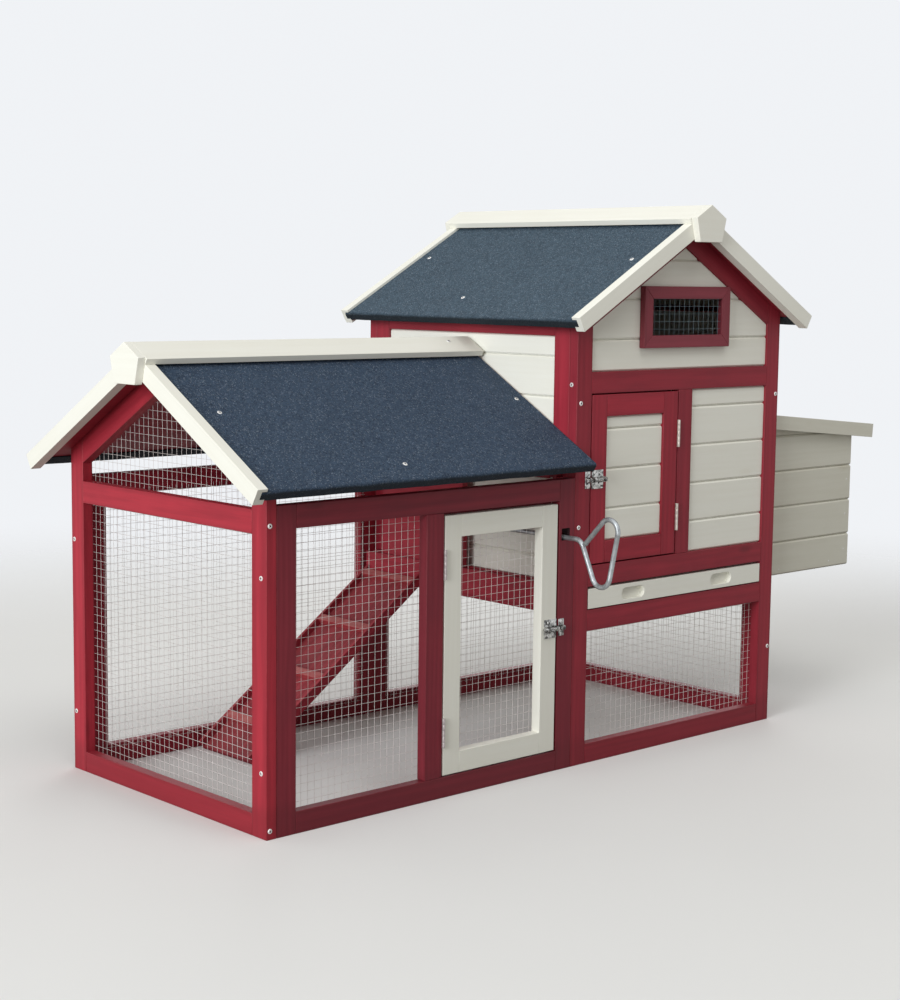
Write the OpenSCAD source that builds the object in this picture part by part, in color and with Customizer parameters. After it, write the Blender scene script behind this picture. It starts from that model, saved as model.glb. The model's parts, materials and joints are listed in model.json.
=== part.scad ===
// Chicken coop: a low mesh run with its own gabled roof, joined to a raised house with a nest box.
// x runs along the front from the run's end, y from the front face to the back, z up from the ground.

/* [Overall] */
// Length of the run along the front
run_l = 624; // [600:1:680]
// Width of the house along the front
house_w = 526; // [510:1:580]
// Depth from the front face to the back face
depth = 520; // [510:1:560]

/* [Timber] */
// Thickness of every framed panel
frame_t = 18; // [16:1:20]
// Width of posts and stiles
stile_w = 35; // [32:1:38]
// Height of rails
rail_h = 35; // [32:1:38]
// Height of the rails that stand on the ground
base_h = 33; // [28:1:38]
// Width of rafters, square to their slope
rafter_w = 34; // [28:1:38]
// Thickness of siding boards
board_t = 10; // [8:1:12]
// Height of one siding board
board_pitch = 66.4; // [58:0.2:74]
// Set-back of siding from the face of its frame
board_recess = 4; // [2:0.5:5]
// Depth of the V groove between siding boards
groove = 3; // [1:0.1:3.4]
// Gap left at each butt joint
joint_gap = 0.15; // [0.1:0.05:0.3]

/* [Run] */
// Top of the front and back top rails
run_rail_top = 481; // [470:1:490]
// Top of the end panel's top rail
end_rail_top = 474; // [460:1:480]
// Height of the run's rafters at the ridge
run_ridge_z = 672; // [665:1:700]
// Distance from the run's end to the post beside its door
mid_post_x = 302; // [280:1:310]
// Width of the run door's stiles and rails
door_stile_w = 34; // [28:1:40]
// Gap under the run door
door_gap_low = 2.5; // [1.5:0.5:5]
// Gap over the run door
door_gap_top = 5; // [2:0.5:8]
// Thickness of the stop behind the head of a door
stop_t = 8; // [6:1:10]
// How far a door stop reaches above and below the edge of its rail
stop_reach = 12; // [11:0.5:14]
// Gap at the run door's latch side
run_latch_gap = 4.5; // [2:0.5:5]
// Height of the roof bearer on the house wall
bearer_h = 24; // [20:1:26]

/* [House] */
// Height of the lower rail's top, where the tray slides
floor_z = 259; // [250:1:265]
// Height of the tray slot
tray_slot_h = 39; // [37:1:44]
// Width of the house door opening
house_door_w = 218; // [200:1:228]
// Height of the house door opening
house_door_h = 284; // [270:1:295]
// Width of the house door's stiles and rails
house_door_stile_w = 36; // [30:1:42]
// Gap at the house door's latch side
house_latch_gap = 2.5; // [2:0.5:5]
// Gap over and under the house door
house_door_gap = 2.5; // [1.5:0.5:4]
// Height of the house's rafters at the ridge
house_ridge_z = 897; // [890:1:930]
// Height of the divider's bottom rail above the ground
divider_z = 255; // [250:1:258]
// Lowest board joint on the walls
board_start_z = 254; // [240:1:260]
// Lowest board joint on the divider
divider_start_z = 277.4; // [270:0.2:284]
// Lowest board joint in the house door
door_start_z = 358.2; // [350:0.2:366]
// Lowest board joint in the front gable
gable_start_z = 637.4; // [630:0.2:650]

/* [Vent] */
// Width over the vent frame
vent_w = 222; // [190:1:226]
// Height over the vent frame
vent_h = 103; // [90:1:106]
// Face width of the vent frame
vent_face = 21; // [17:1:26]
// Thickness of the vent frame
vent_t = 11.5; // [9:0.5:16]
// Thickness of the vent frame in front of its mesh
vent_lip = 4; // [3:0.5:6]
// Gap between the vent's top corners and the rafters
vent_gap = 1.6; // [1:0.2:8]
// How far the vent mesh runs behind its frame
vent_lap = 6; // [3:0.5:8]
// How far the vent frame runs over the boards
vent_edge = 7; // [5:0.5:9]

/* [Roofs] */
// Slope of both roofs
pitch = 30; // [29:0.5:31]
// Thickness of the roof boards
roof_t = 10; // [8:1:12]
// Thickness of the roofing felt
felt_t = 2; // [1:0.5:3]
// How far the felt turns under the eave
felt_turn = 22; // [14:1:26]
// Length of the run's roof boards down the slope
run_slope_l = 346; // [335:1:360]
// Length of the house's roof boards down the slope
house_slope_l = 338; // [330:1:345]
// Distance from the run's end to the face of its barge boards
run_overhang = 52; // [40:1:65]
// Distance from the house front to the face of its barge boards
house_overhang = 40; // [30:1:50]
// Distance from the house back to the face of its barge boards
house_overhang_back = 36; // [25:1:40]
// Gap between the run's roof and the house wall
roof_gap = 1; // [0.5:0.5:3]

/* [Barge boards and ridges] */
// Thickness of a barge board
barge_t = 18; // [15:1:20]
// Depth of the groove that takes the roof's edge
barge_groove = 8.6; // [6:0.2:10]
// Lip of a barge board above the felt
barge_lip = 5; // [3:0.5:8]
// Lip of a barge board under the roof boards
barge_foot = 9; // [6:0.5:12]
// Thickness of the ridge cap boards
cap_t = 10; // [8:1:12]
// Width of the ridge cap boards along the slope
cap_w = 32; // [24:1:34]
// Thickness of the ridge end plates
plate_t = 13; // [10:1:16]
// Half width of the ridge end plates
plate_half = 38; // [34:1:44]
// Half width of the ridge end plates at the bottom
plate_foot = 28; // [22:1:32]
// Height of the ridge end plates
plate_h = 62; // [54:1:70]

/* [Wire mesh] */
// Pitch of the wires
mesh_pitch = 50; // [46:1:70]
// Width of a wire
wire_w = 1.6; // [1.2:0.1:2.4]
// Thickness of a mesh sheet
wire_t = 1.2; // [0.8:0.1:2]
// How far a mesh sheet runs behind its frame
mesh_lap = 8; // [5:0.5:12]

/* [Hinges] */
// Height of a hinge
hinge_h = 46.5; // [40:0.5:60]
// Radius of the knuckles
knuckle_r = 2.2; // [2:0.1:3]
// Radius of the pin
pin_r = 1.1; // [0.9:0.1:1.3]
// Running clearance of the moving knuckles around the pin
pin_clear = 0.05; // [0.03:0.01:0.09]
// Gap between two knuckles
knuckle_gap = 0.3; // [0.2:0.05:0.6]
// Thickness of a leaf
leaf_t = 1; // [0.8:0.1:1.2]
// Width of a leaf
leaf_w = 14; // [10:0.5:15]
// Gap between the two leaves of a closed hinge
leaf_gap = 0.4; // [0.3:0.1:0.8]
// Clearance of the knuckles to the wood
knuckle_clear = 0.3; // [0.2:0.1:0.8]
// Height of the run door's lower hinge
run_hinge_low = 80; // [60:1:100]
// Height of the run door's upper hinge
run_hinge_high = 343; // [300:1:360]
// Height of the house door's lower hinge
house_hinge_low = 375; // [360:1:390]
// Height of the house door's upper hinge
house_hinge_high = 519; // [480:1:540]
// Distance of each lid hinge from the middle of the nest box
lid_hinge_y = 150; // [100:1:180]

/* [Latches] */
// Width of the latch plate along the bolt
latch_w = 27.5; // [26:0.5:30]
// Height of the latch plate
latch_h = 31; // [26:1:38]
// Thickness of the latch plate
latch_t = 1.2; // [0.8:0.1:1.6]
// Radius of the latch bolt
bolt_r = 3; // [2.5:0.1:3.2]
// Running clearance of the bolt in its saddles
bolt_clear = 0.06; // [0.03:0.01:0.09]
// Length of the bolt's knob
knob_l = 9; // [7:0.5:12]
// Length of the latch bolt
bolt_l = 31; // [29:0.5:34]
// Wall of a saddle around the bolt
saddle_wall = 1.6; // [1.2:0.1:2]
// Width of a saddle along the bolt
saddle_w = 4.5; // [3:0.5:5]
// Width of the keeper along the bolt
keeper_w = 12; // [10:0.5:14]
// Distance of the keeper from the edge of its post
keeper_set = 1; // [0.5:0.5:2]
// Height of the keeper
keeper_h = 28; // [24:1:34]
// Height of the run door's latch
run_latch_z = 239; // [200:1:280]
// Height of the house door's latch
house_latch_z = 476; // [440:1:500]

/* [Tray] */
// Height of the tray front
tray_front_h = 33; // [30:1:35]
// Clearance of the tray front in its slot, below and at each side
tray_clear = 2; // [1:0.5:3]
// Width of a finger grip
grip_w = 57; // [45:1:70]
// Height of a finger grip
grip_h = 20; // [16:1:22]
// Depth of a finger grip
grip_d = 9; // [6:0.5:12]
// Distance of each finger grip from the middle of the tray
grip_x = 116; // [90:1:140]
// Thickness of the tray pan's base and sides
pan_t = 4; // [3:0.5:6]
// Height of the tray pan
pan_h = 26; // [20:1:28]
// Gap behind the tray pan
pan_gap = 6; // [4:1:12]
// Height of a tray runner
runner_h = 15; // [12:1:18]
// How far a tray runner reaches under the pan
runner_lap = 14; // [10:1:20]

/* [Nest box] */
// Distance from the house front to the side of the nest box
nest_inset = 30; // [24:1:34]
// Projection of the nest box from the house wall
nest_l = 275; // [240:1:300]
// Slope of the lid
lid_slope = 5.4; // [4:0.2:7]
// Height of the lid's hinge axis
lid_axis_z = 564; // [556:1:572]
// Length of the lid
lid_l = 323; // [310:1:340]
// Thickness of the lid board
lid_t = 10; // [8:1:12]
// Height over the lid's rim
lid_rim_h = 26; // [22:1:30]
// Thickness of the lid's rim
lid_rim_t = 14; // [10:1:16]
// Clearance of the lid's rim to the nest box
lid_clear = 1; // [0.5:0.5:2]
// Height of the header rail over the nests
header_z = 546; // [542:1:550]

/* [Pop door] */
// Width of the sliding door
pop_w = 210; // [195:1:220]
// Height of the sliding door
pop_h = 191; // [180:1:194]
// Thickness of the sliding door
pop_t = 12; // [10:1:13]
// Distance from the house front to the closed door
pop_y = 241; // [230:1:250]
// Width of the pop hole
hole_w = 146; // [130:1:150]
// Distance from the hole's back edge to the closed door's back edge
hole_cover = 4; // [2:0.5:6]
// Depth of the guides out from the wall
guide_d = 31.5; // [29:0.5:33]
// Thickness of the guides' outer lip
guide_lip = 5; // [4:0.5:6]
// Height of the lower guide
guide_low_h = 46; // [40:1:48]
// Height of the upper guide
guide_top_h = 21; // [18:1:24]
// Height of the lower guide's underside
guide_z = 262; // [258:1:264]
// Depth of the guide grooves
guide_groove = 10; // [8:0.5:12]
// Clearance of the sliding door in its guides
guide_clear = 0.5; // [0.3:0.1:0.8]
// Distance of the guides from the front and back panels
guide_inset = 12; // [10:1:16]

/* [Pull rod] */
// Radius of the rod
rod_r = 4; // [3:0.25:4.5]
// Height of the rod
rod_z = 385.5; // [381:0.5:391]
// Width and height of the square hole for the rod
rod_hole = 19; // [16:0.5:20]
// Length of the rod inside the sliding door
rod_in = 30; // [20:1:40]
// Clearance of the rod in the sliding door
rod_clear = 0.1; // [0.05:0.05:0.3]
// How far the rod stands out of the front at its bend
rod_out = 34; // [31:1:37]
// Bend radius of the rod
rod_bend_r = 18.5; // [15:0.5:20]
// How much the rod's radius swells in a bend
bend_swell = 0.15; // [0.1:0.05:0.3]
// Length of the grip's lower side before its corner is rounded
grip_side = 124.5; // [121:0.5:128]
// Slope of the grip's lower side below the level
grip_low = 65.5; // [64.5:0.5:66.5]
// Length of the grip's far side before its corners are rounded
grip_far = 199; // [195:1:203]
// Slope of the grip's far side above the level
grip_lean = 78; // [77:0.5:79]
// Bend radius of the grip's corners
grip_r = 19; // [17:0.5:20]
// Gap between the rod's end and the side that it meets
rod_gap = 0.4; // [0.3:0.1:1]

/* [Ramp and perch] */
// Width of the ramp
ramp_w = 143; // [130:1:150]
// Distance from the house back to the ramp
ramp_back = 34; // [26:1:42]
// Distance from the run's end to the ramp's foot
ramp_x = 230.4; // [222:0.2:240]
// Height of the ramp's side rails
ramp_rail_h = 18.5; // [15:0.5:21]
// Thickness of the ramp's side rails
ramp_rail_t = 6; // [5:0.5:9]
// Thickness of the ramp's deck
ramp_deck_t = 7.5; // [5:0.5:9]
// Height of the ramp at its upper end
ramp_top_z = 284; // [276:1:290]
// Number of cleats
cleats = 4; // [2:1:4]
// Distance between cleats along the ramp
cleat_pitch = 124; // [90:1:138]
// Distance of the upper cleat from the ramp's upper end
cleat_start = 2.5; // [1:0.5:20]
// Width of a cleat
cleat_w = 14; // [10:1:20]
// Width of the perch
perch_w = 30; // [24:1:34]
// Height of the perch
perch_h = 34; // [30:1:40]
// Height of the perch's underside
perch_z = 400; // [380:1:440]

/* [Hidden] */
$fn = 48;
eps = 0.01;

red = "firebrick";
white = "ivory";
slate = "slategray";
steel = "silver";

// Edges of the house and of its inside
x_house = run_l;
x_end = run_l + house_w;
house_half = house_w / 2;
run_half = depth / 2;
house_open = house_half - stile_w;
run_open = run_half - stile_w;
side_l = depth - 2 * frame_t;
side_open = side_l - 2 * stile_w;
rafter_v = rafter_w / cos(pitch);

// Levels of the house
lower_z = floor_z - rail_h;
sill_z = floor_z + tray_slot_h;
door_z = sill_z + rail_h;
mid_z = door_z + house_door_h;
gable_z = mid_z + rail_h;
eave_z = house_ridge_z - house_half * tan(pitch);
top_z = eave_z - rail_h;

// Height of the vent's centre under the rafters
vent_z = house_ridge_z - vent_w / 2 * tan(pitch) - rafter_v - vent_gap - vent_h / 2;

// Layers of a roof, measured square to the slope from the underside of its boards
felt_n = roof_t + felt_t;
barge_n = felt_n + barge_lip;
cap_n = barge_n + cap_t;

// Door edges
run_door_x = mid_post_x + stile_w;
run_rail_z = run_rail_top - rail_h;
seam = 2 * leaf_t + leaf_gap;
run_leaf_x = run_door_x + seam;
run_leaf_w = run_l - stile_w - run_latch_gap - run_leaf_x;
run_leaf_z = base_h + door_gap_low;
run_leaf_h = run_rail_z - door_gap_top - run_leaf_z;
house_leaf_x = x_house + stile_w + house_latch_gap;
house_leaf_w = house_door_w - house_latch_gap - seam;
house_leaf_z = door_z + house_door_gap;
house_leaf_h = house_door_h - 2 * house_door_gap;
hinge_out = knuckle_r + knuckle_clear;
house_hinge_x = house_leaf_x + house_leaf_w + seam / 2;

// Nest box and its lid
nest_w = depth - 2 * nest_inset;
nest_x = x_end;
lid_axis_x = x_end + hinge_out;
lid_under = hinge_out + lid_t;
rim_foot = hinge_out + lid_rim_h;
rim_start = max(0, (rim_foot * sin(lid_slope) - hinge_out + lid_clear / 2) / cos(lid_slope));
nest_floor_z = floor_z;

// Pop door, guides and hole
pop_x = x_house - guide_d + guide_lip + guide_clear;
pop_z = guide_z + guide_low_h - guide_groove + guide_clear;
guide_top_z = pop_z + pop_h + guide_clear - guide_groove;
hole_z = guide_z + guide_low_h;
hole_h = guide_top_z - hole_z;
hole_y = pop_y + pop_w - hole_cover - hole_w;
rod_x = pop_x + pop_t / 2;

// Corners of the pull rod's line in its plane; straight lengths run a little into the bends
bend_lap = 1;
rod_start = [pop_y + rod_in - joint_gap, rod_z];
rod_corner = [-rod_out, rod_z];
grip_foot = rod_corner - grip_side * [cos(grip_low), sin(grip_low)];
grip_top = grip_foot + grip_far * [-cos(grip_lean), sin(grip_lean)];
rod_meet = toward(rod_corner, grip_foot, bend_reach(rod_start, rod_corner, grip_foot, rod_bend_r));
rod_end = toward(rod_meet, grip_top, rod_r / tan(turn_of(grip_top, rod_meet, grip_foot) / 2) + rod_gap);
grip_reach = grip_r + rod_r + bend_swell - bend_centre(grip_foot, grip_top, rod_end, grip_r)[0];

// Ramp
ramp_y = depth - ramp_back - ramp_w;
ramp_inner = ramp_w - 2 * ramp_rail_t - 2 * joint_gap;
ramp_run = x_house - guide_d - ramp_x;
ramp_a = ramp_slope(atan(ramp_top_z / ramp_run), 4);

// Bounds of the whole coop, for the origin under its middle
lid_tip_x = lid_axis_x + lid_l * cos(lid_slope) - hinge_out * sin(lid_slope);
eave_y = run_half + joint_gap / 2 + slope_pt(run_slope_l + felt_t, barge_n, 0)[0];
mid_x = (lid_tip_x - run_overhang - plate_t) / 2;
back_y = max(eave_y, depth + house_overhang_back + plate_t);
mid_y = (back_y - grip_reach) / 2;

// Point at distance l from b toward c, turn of the line a, b, c at b, and the reach and centre of its bend
function toward(b, c, l) = b + l / norm(c - b) * (c - b);
function turn_of(a, b, c) = acos((b - a) * (c - b) / norm(b - a) / norm(c - b));
function bend_reach(a, b, c, r) = r * tan(turn_of(a, b, c) / 2);
function bend_centre(a, b, c, r) =
    toward(b, toward(b, a, 1) + toward(b, c, 1) - b, r / cos(turn_of(a, b, c) / 2));

// Slope of the ramp whose lower corner stands on the ground and whose top ends at ramp_top_z
function ramp_slope(a, n) =
    n == 0 ? a : ramp_slope(atan((ramp_top_z - ramp_rail_h / cos(a)) / ramp_run), n - 1);

// Point of a roof's section: s down the slope, n square to it, from the ridge at height top
function slope_pt(s, n, top) = [s * cos(pitch) + n * sin(pitch), top - s * sin(pitch) + n * cos(pitch)];
function ridge_pt(n, top) = [0, top + n / cos(pitch)];
// Height of a roof's underside at distance g from the ridge
function under_z(g, top) = top - g * tan(pitch);
// Outline of a gable from a level up to a pair of slopes
function gable_outline(edge, low, apex) =
    [[-edge, low], [edge, low], [edge, under_z(edge, apex)], [0, apex], [-edge, under_z(edge, apex)]];

// Placing: each wall's frame has x to the right as seen from outside, y inward and z up
module placed() translate([-mid_x, -mid_y, 0]) children();
module at_house_front() translate([x_house + house_half, 0, 0]) children();
module at_house_back() translate([x_house + house_half, depth, 0]) rotate([0, 0, 180]) children();
module at_divider() translate([x_house, run_half, 0]) rotate([0, 0, -90]) children();
module at_house_right() translate([x_end, run_half, 0]) rotate([0, 0, 90]) children();
module at_run_end() translate([0, run_half, 0]) rotate([0, 0, -90]) children();
module at_run_back() translate([run_l, depth, 0]) rotate([0, 0, 180]) children();
module at_lid() translate([lid_axis_x, 0, lid_axis_z]) rotate([0, lid_slope, 0]) children();
module both_sides() {
    children();
    mirror([1, 0, 0]) children();
}

// Prisms of a section in xz along y, and of a section in yz along x
module prism_y(points, t) translate([0, t, 0]) rotate([90, 0, 0]) linear_extrude(t) polygon(points);
module prism_x(points, t) rotate([90, 0, 90]) linear_extrude(t) polygon(points);

// Straight members of a frame, with the joint gap at the ends that butt
module rail(x0, x1, z0, h = rail_h)
    translate([x0 + joint_gap, 0, z0]) cube([x1 - x0 - 2 * joint_gap, frame_t, h]);
module post(x0, z0, z1, w = stile_w)
    translate([x0, 0, z0]) cube([w, frame_t, z1 - z0]);
module stile(x0, z0, z1, w = stile_w) post(x0, z0 + joint_gap, z1 - joint_gap, w);

// Stop behind the head of a door, across its opening
module door_stop(x0, x1, z)
    translate([x0 + joint_gap, frame_t + joint_gap, z - stop_reach])
        cube([x1 - x0 - 2 * joint_gap, stop_t, 2 * stop_reach]);

// Posts and rafters of a gabled panel
module gable_posts(half, top)
    both_sides() prism_y([
        [half - stile_w, 0],
        [half, 0],
        [half, under_z(half, top)],
        [half - stile_w, under_z(half - stile_w, top)]
    ], frame_t);
module gable_rafters(half, top) {
    g0 = joint_gap / 2;
    g1 = half - stile_w - joint_gap;
    both_sides() prism_y([
        [g0, under_z(g0, top)],
        [g1, under_z(g1, top)],
        [g1, under_z(g1, top) - rafter_v],
        [g0, under_z(g0, top) - rafter_v]
    ], frame_t);
}

// Siding boards between two posts and two levels, with joints at every pitch from start
module siding(x0, x1, z0, z1, start) {
    first = floor((z0 - start) / board_pitch);
    last = ceil((z1 - start) / board_pitch) - 1;
    for (k = [first:last]) {
        low = max(z0, start + k * board_pitch) + joint_gap;
        high = min(z1, start + (k + 1) * board_pitch) - joint_gap;
        if (high - low > 3 * groove) translate([x0 + joint_gap, board_recess, 0]) prism_x([
            [groove, low],
            [0, low + groove],
            [0, high - groove],
            [groove, high],
            [board_t, high],
            [board_t, low]
        ], x1 - x0 - 2 * joint_gap);
    }
}

// Wire mesh behind an opening of a frame
module net_cells(x0, x1, z0, z1) {
    columns = max(1, round((x1 - x0) / mesh_pitch));
    rows = max(1, round((z1 - z0) / mesh_pitch));
    dx = (x1 - x0 - wire_w) / columns;
    dz = (z1 - z0 - wire_w) / rows;
    for (i = [0:columns - 1], j = [0:rows - 1])
        translate([x0 + wire_w + i * dx, z0 + wire_w + j * dz]) square([dx - wire_w, dz - wire_w]);
}
module net_sheet(y0) translate([0, y0 + wire_t, 0]) rotate([90, 0, 0]) linear_extrude(wire_t) children();
module net(x0, x1, z0, z1, lap = mesh_lap) {
    net_sheet(frame_t) difference() {
        translate([x0 - lap, z0 - lap]) square([x1 - x0 + 2 * lap, z1 - z0 + 2 * lap]);
        net_cells(x0 - lap, x1 + lap, z0 - lap, z1 + lap);
    }
}

// Half of a butt hinge: its axis runs up from the origin, its leaf lies at x = off and runs to y
module hinge_half(knuckles, off, bore) {
    seg = hinge_h / 5;
    difference() {
        union() {
            for (i = knuckles) translate([0, 0, i * seg + knuckle_gap / 2]) {
                cylinder(r = knuckle_r, h = seg - knuckle_gap);
                translate([off, 0, 0]) cube([leaf_t, hinge_out + eps, seg - knuckle_gap]);
            }
            translate([off, hinge_out, 0]) cube([leaf_t, leaf_w, hinge_h]);
        }
        if (bore) translate([0, 0, -1]) cylinder(r = pin_r + pin_clear, h = hinge_h + 2);
    }
    if (!bore) cylinder(r = pin_r, h = hinge_h);
}
module fixed_half(off = -seam / 2) union() hinge_half([0, 2, 4], off, false);
module moving_half(off = seam / 2 - leaf_t) hinge_half([1, 3], off, true);
module at_run_hinges() for (z = [run_hinge_low, run_hinge_high])
    translate([run_door_x + seam / 2, -hinge_out, z]) children();
module at_house_hinges() for (z = [house_hinge_low, house_hinge_high])
    translate([house_hinge_x, -hinge_out, z]) mirror([1, 0, 0]) children();
module at_lid_hinges() for (side = [-1, 1])
    translate([lid_axis_x, run_half + side * lid_hinge_y + hinge_h / 2, lid_axis_z]) children();

// Barrel latch: x points the way the bolt shoots, from the door's edge
bolt_axis = latch_t + bolt_r + bolt_clear + 1;
saddle_r = bolt_r + saddle_wall;
module saddle(x0, w) {
    difference() {
        translate([x0, 0, 0]) union() {
            translate([0, -bolt_axis, 0]) rotate([0, 90, 0]) cylinder(r = saddle_r, h = w);
            translate([0, -bolt_axis, -saddle_r]) cube([w, bolt_axis, 2 * saddle_r]);
        }
        translate([x0 - 1, -bolt_axis, 0]) rotate([0, 90, 0]) cylinder(r = bolt_r + bolt_clear, h = w + 2);
    }
}
module latch_plate() union() {
    translate([-latch_w, -latch_t, -latch_h / 2]) cube([latch_w, latch_t, latch_h]);
    saddle(-latch_w, saddle_w);
    saddle(-saddle_w, saddle_w);
}
module latch_bolt() {
    knob_x = saddle_w - latch_w + bolt_r;
    translate([-bolt_l, -bolt_axis, 0]) union() {
        rotate([0, 90, 0]) cylinder(r = bolt_r, h = bolt_l - 1);
        translate([bolt_l + knob_x, 0, 0]) rotate([90, 0, 0]) cylinder(r = bolt_r - 1, h = knob_l);
        translate([bolt_l + knob_x, -knob_l, 0]) sphere(r = bolt_r);
    }
}
module keeper(gap) translate([gap + keeper_set, 0, 0]) union() {
    translate([0, -latch_t, -keeper_h / 2]) cube([keeper_w, latch_t, keeper_h]);
    saddle((keeper_w - saddle_w) / 2, saddle_w);
}
module at_run_latch() translate([run_leaf_x + run_leaf_w, 0, run_latch_z]) children();
module at_house_latch() translate([house_leaf_x, 0, house_latch_z]) mirror([1, 0, 0]) children();

// Sections of a roof slope, from the ridge down
function roof_section(n0, n1, s1, top) =
    [ridge_pt(n0, top), ridge_pt(n1, top), slope_pt(s1, n1, top), slope_pt(s1, n0, top)];
function felt_section(s1, top) = [
    ridge_pt(roof_t, top),
    ridge_pt(felt_n, top),
    slope_pt(s1 + felt_t, felt_n, top),
    slope_pt(s1 + felt_t, 0, top),
    slope_pt(s1, 0, top),
    slope_pt(s1, roof_t, top)
];
function felt_turned(s1, top) = [
    slope_pt(s1 + felt_t, 0, top),
    slope_pt(s1 + felt_t, -felt_t, top),
    slope_pt(s1 - felt_turn, -felt_t, top),
    slope_pt(s1 - felt_turn, 0, top)
];
// Felt over a slope of length l, turned under the eave between the barge boards
module felt(s1, top, l, end) both_sides() translate([joint_gap / 2, 0, 0]) union() {
    prism_y(felt_section(s1, top), l);
    translate([0, barge_groove + joint_gap, 0])
        prism_y(felt_turned(s1, top), l - barge_groove - joint_gap - end);
}
// A pair of barge boards, groove toward +y
module barges(s1, top) both_sides() translate([joint_gap / 2, 0, 0]) difference() {
    prism_y(roof_section(-barge_foot, barge_n, s1 + felt_t, top), barge_t);
    translate([0, barge_t - barge_groove, 0])
        prism_y(roof_section(0, felt_n, s1 + felt_t + 1, top), barge_groove + 1);
}
module ridge_plate(top) {
    apex = ridge_pt(cap_n, top)[1];
    prism_y([
        [0, apex],
        [plate_half, apex - plate_half * tan(pitch)],
        [plate_foot, apex - plate_h],
        [-plate_foot, apex - plate_h],
        [-plate_half, apex - plate_half * tan(pitch)]
    ], plate_t);
}
house_roof_y0 = barge_t - barge_groove - house_overhang;
house_cap_l = depth + house_overhang + house_overhang_back;
house_roof_l = house_cap_l - 2 * (barge_t - barge_groove);

// Run

module run_end_frame() color(red) placed() at_run_end() {
    gable_posts(run_half, run_ridge_z);
    gable_rafters(run_half, run_ridge_z);
    rail(-run_open, run_open, 0, base_h);
    rail(-run_open, run_open, end_rail_top - rail_h);
}

// The upper sheet fills the triangle between the top rail and the rafters
module run_end_mesh() color(steel) placed() at_run_end() {
    net(-run_open, run_open, base_h, end_rail_top - rail_h);
    net_sheet(frame_t) difference() {
        gable_sheet(0);
        intersection() {
            gable_sheet(wire_w);
            net_cells(-run_open, run_open, end_rail_top - mesh_lap, run_ridge_z - rafter_v + mesh_lap);
        }
    }
}
module gable_sheet(inset) {
    low = end_rail_top - mesh_lap + inset;
    edge = run_open - inset;
    apex = run_ridge_z - rafter_v + mesh_lap - inset / cos(pitch);
    polygon(gable_outline(edge, low, apex));
}

module run_front_frame() color(red) placed() {
    post(frame_t + joint_gap, 0, run_rail_top, stile_w - joint_gap);
    rail(frame_t + stile_w, run_l - stile_w, 0, base_h);
    rail(frame_t + stile_w, run_l - stile_w, run_rail_z);
    stile(mid_post_x, base_h, run_rail_z);
    door_stop(run_door_x, run_l - stile_w, run_rail_z);
    difference() {
        post(run_l - stile_w, 0, run_rail_top, stile_w - joint_gap);
        translate([rod_x - rod_hole / 2, -1, rod_z - rod_r - joint_gap])
            cube([rod_hole, frame_t + 2, rod_hole]);
    }
}

module run_front_mesh() color(steel) placed()
    net(frame_t + stile_w, mid_post_x, base_h, run_rail_z);

module run_back_frame() color(red) placed() at_run_back() {
    post(joint_gap, 0, run_rail_top, stile_w - joint_gap);
    post(run_l - frame_t - stile_w, 0, run_rail_top, stile_w - joint_gap);
    rail(stile_w, run_l - frame_t - stile_w, 0, base_h);
    rail(stile_w, run_l - frame_t - stile_w, run_rail_z);
}

module run_back_mesh() color(steel) placed() at_run_back()
    net(stile_w, run_l - frame_t - stile_w, base_h, run_rail_z);

module run_roof_bearer() color(red) placed() translate([run_l - frame_t, run_half, 0]) rotate([0, 0, -90]) {
    drop = bearer_h / cos(pitch);
    g0 = joint_gap / 2;
    both_sides() prism_y([
        [g0, under_z(g0, run_ridge_z)],
        [run_half, under_z(run_half, run_ridge_z)],
        [run_half, under_z(run_half, run_ridge_z) - drop],
        [g0, under_z(g0, run_ridge_z) - drop]
    ], frame_t - joint_gap);
}

module at_run_roof() translate([-run_overhang, run_half, 0]) rotate([0, 0, -90]) children();
run_roof_l = run_l + run_overhang - roof_gap;

module run_roof_boards() color(red) placed() at_run_roof() both_sides()
    translate([joint_gap / 2, barge_t - barge_groove, 0])
        prism_y(roof_section(0, roof_t, run_slope_l, run_ridge_z), run_roof_l - barge_t + barge_groove);

module run_felt() color(slate) placed() at_run_roof() translate([0, barge_t - barge_groove, 0])
    felt(run_slope_l, run_ridge_z, run_roof_l - barge_t + barge_groove, 0);

module run_barge_boards() color(white) placed() at_run_roof() barges(run_slope_l, run_ridge_z);

module run_ridge_cap() color(white) placed() at_run_roof() both_sides()
    translate([joint_gap / 2, 0, 0]) prism_y(roof_section(barge_n, cap_n, cap_w, run_ridge_z), run_roof_l);

module run_ridge_plate() color(white) placed() at_run_roof()
    translate([0, -plate_t, 0]) ridge_plate(run_ridge_z);

module run_hinge_leaves() color(steel) placed() at_run_hinges() fixed_half();

module run_latch_keeper() color(steel) placed() at_run_latch() keeper(run_latch_gap);

// Run door

module run_door_frame() color(white) placed() translate([run_leaf_x, 0, 0]) {
    top = run_leaf_z + run_leaf_h;
    post(0, run_leaf_z, top, door_stile_w);
    post(run_leaf_w - door_stile_w, run_leaf_z, top, door_stile_w);
    rail(door_stile_w, run_leaf_w - door_stile_w, run_leaf_z, door_stile_w);
    rail(door_stile_w, run_leaf_w - door_stile_w, top - door_stile_w, door_stile_w);
}

module run_door_mesh() color(steel) placed() translate([run_leaf_x, 0, run_leaf_z])
    net(door_stile_w, run_leaf_w - door_stile_w, door_stile_w, run_leaf_h - door_stile_w);

module run_door_hinges() color(steel) placed() at_run_hinges() moving_half();

module run_latch_plate() color(steel) placed() at_run_latch() latch_plate();

module run_latch_bolt() color(steel) placed() at_run_latch() latch_bolt();

// House walls

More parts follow.
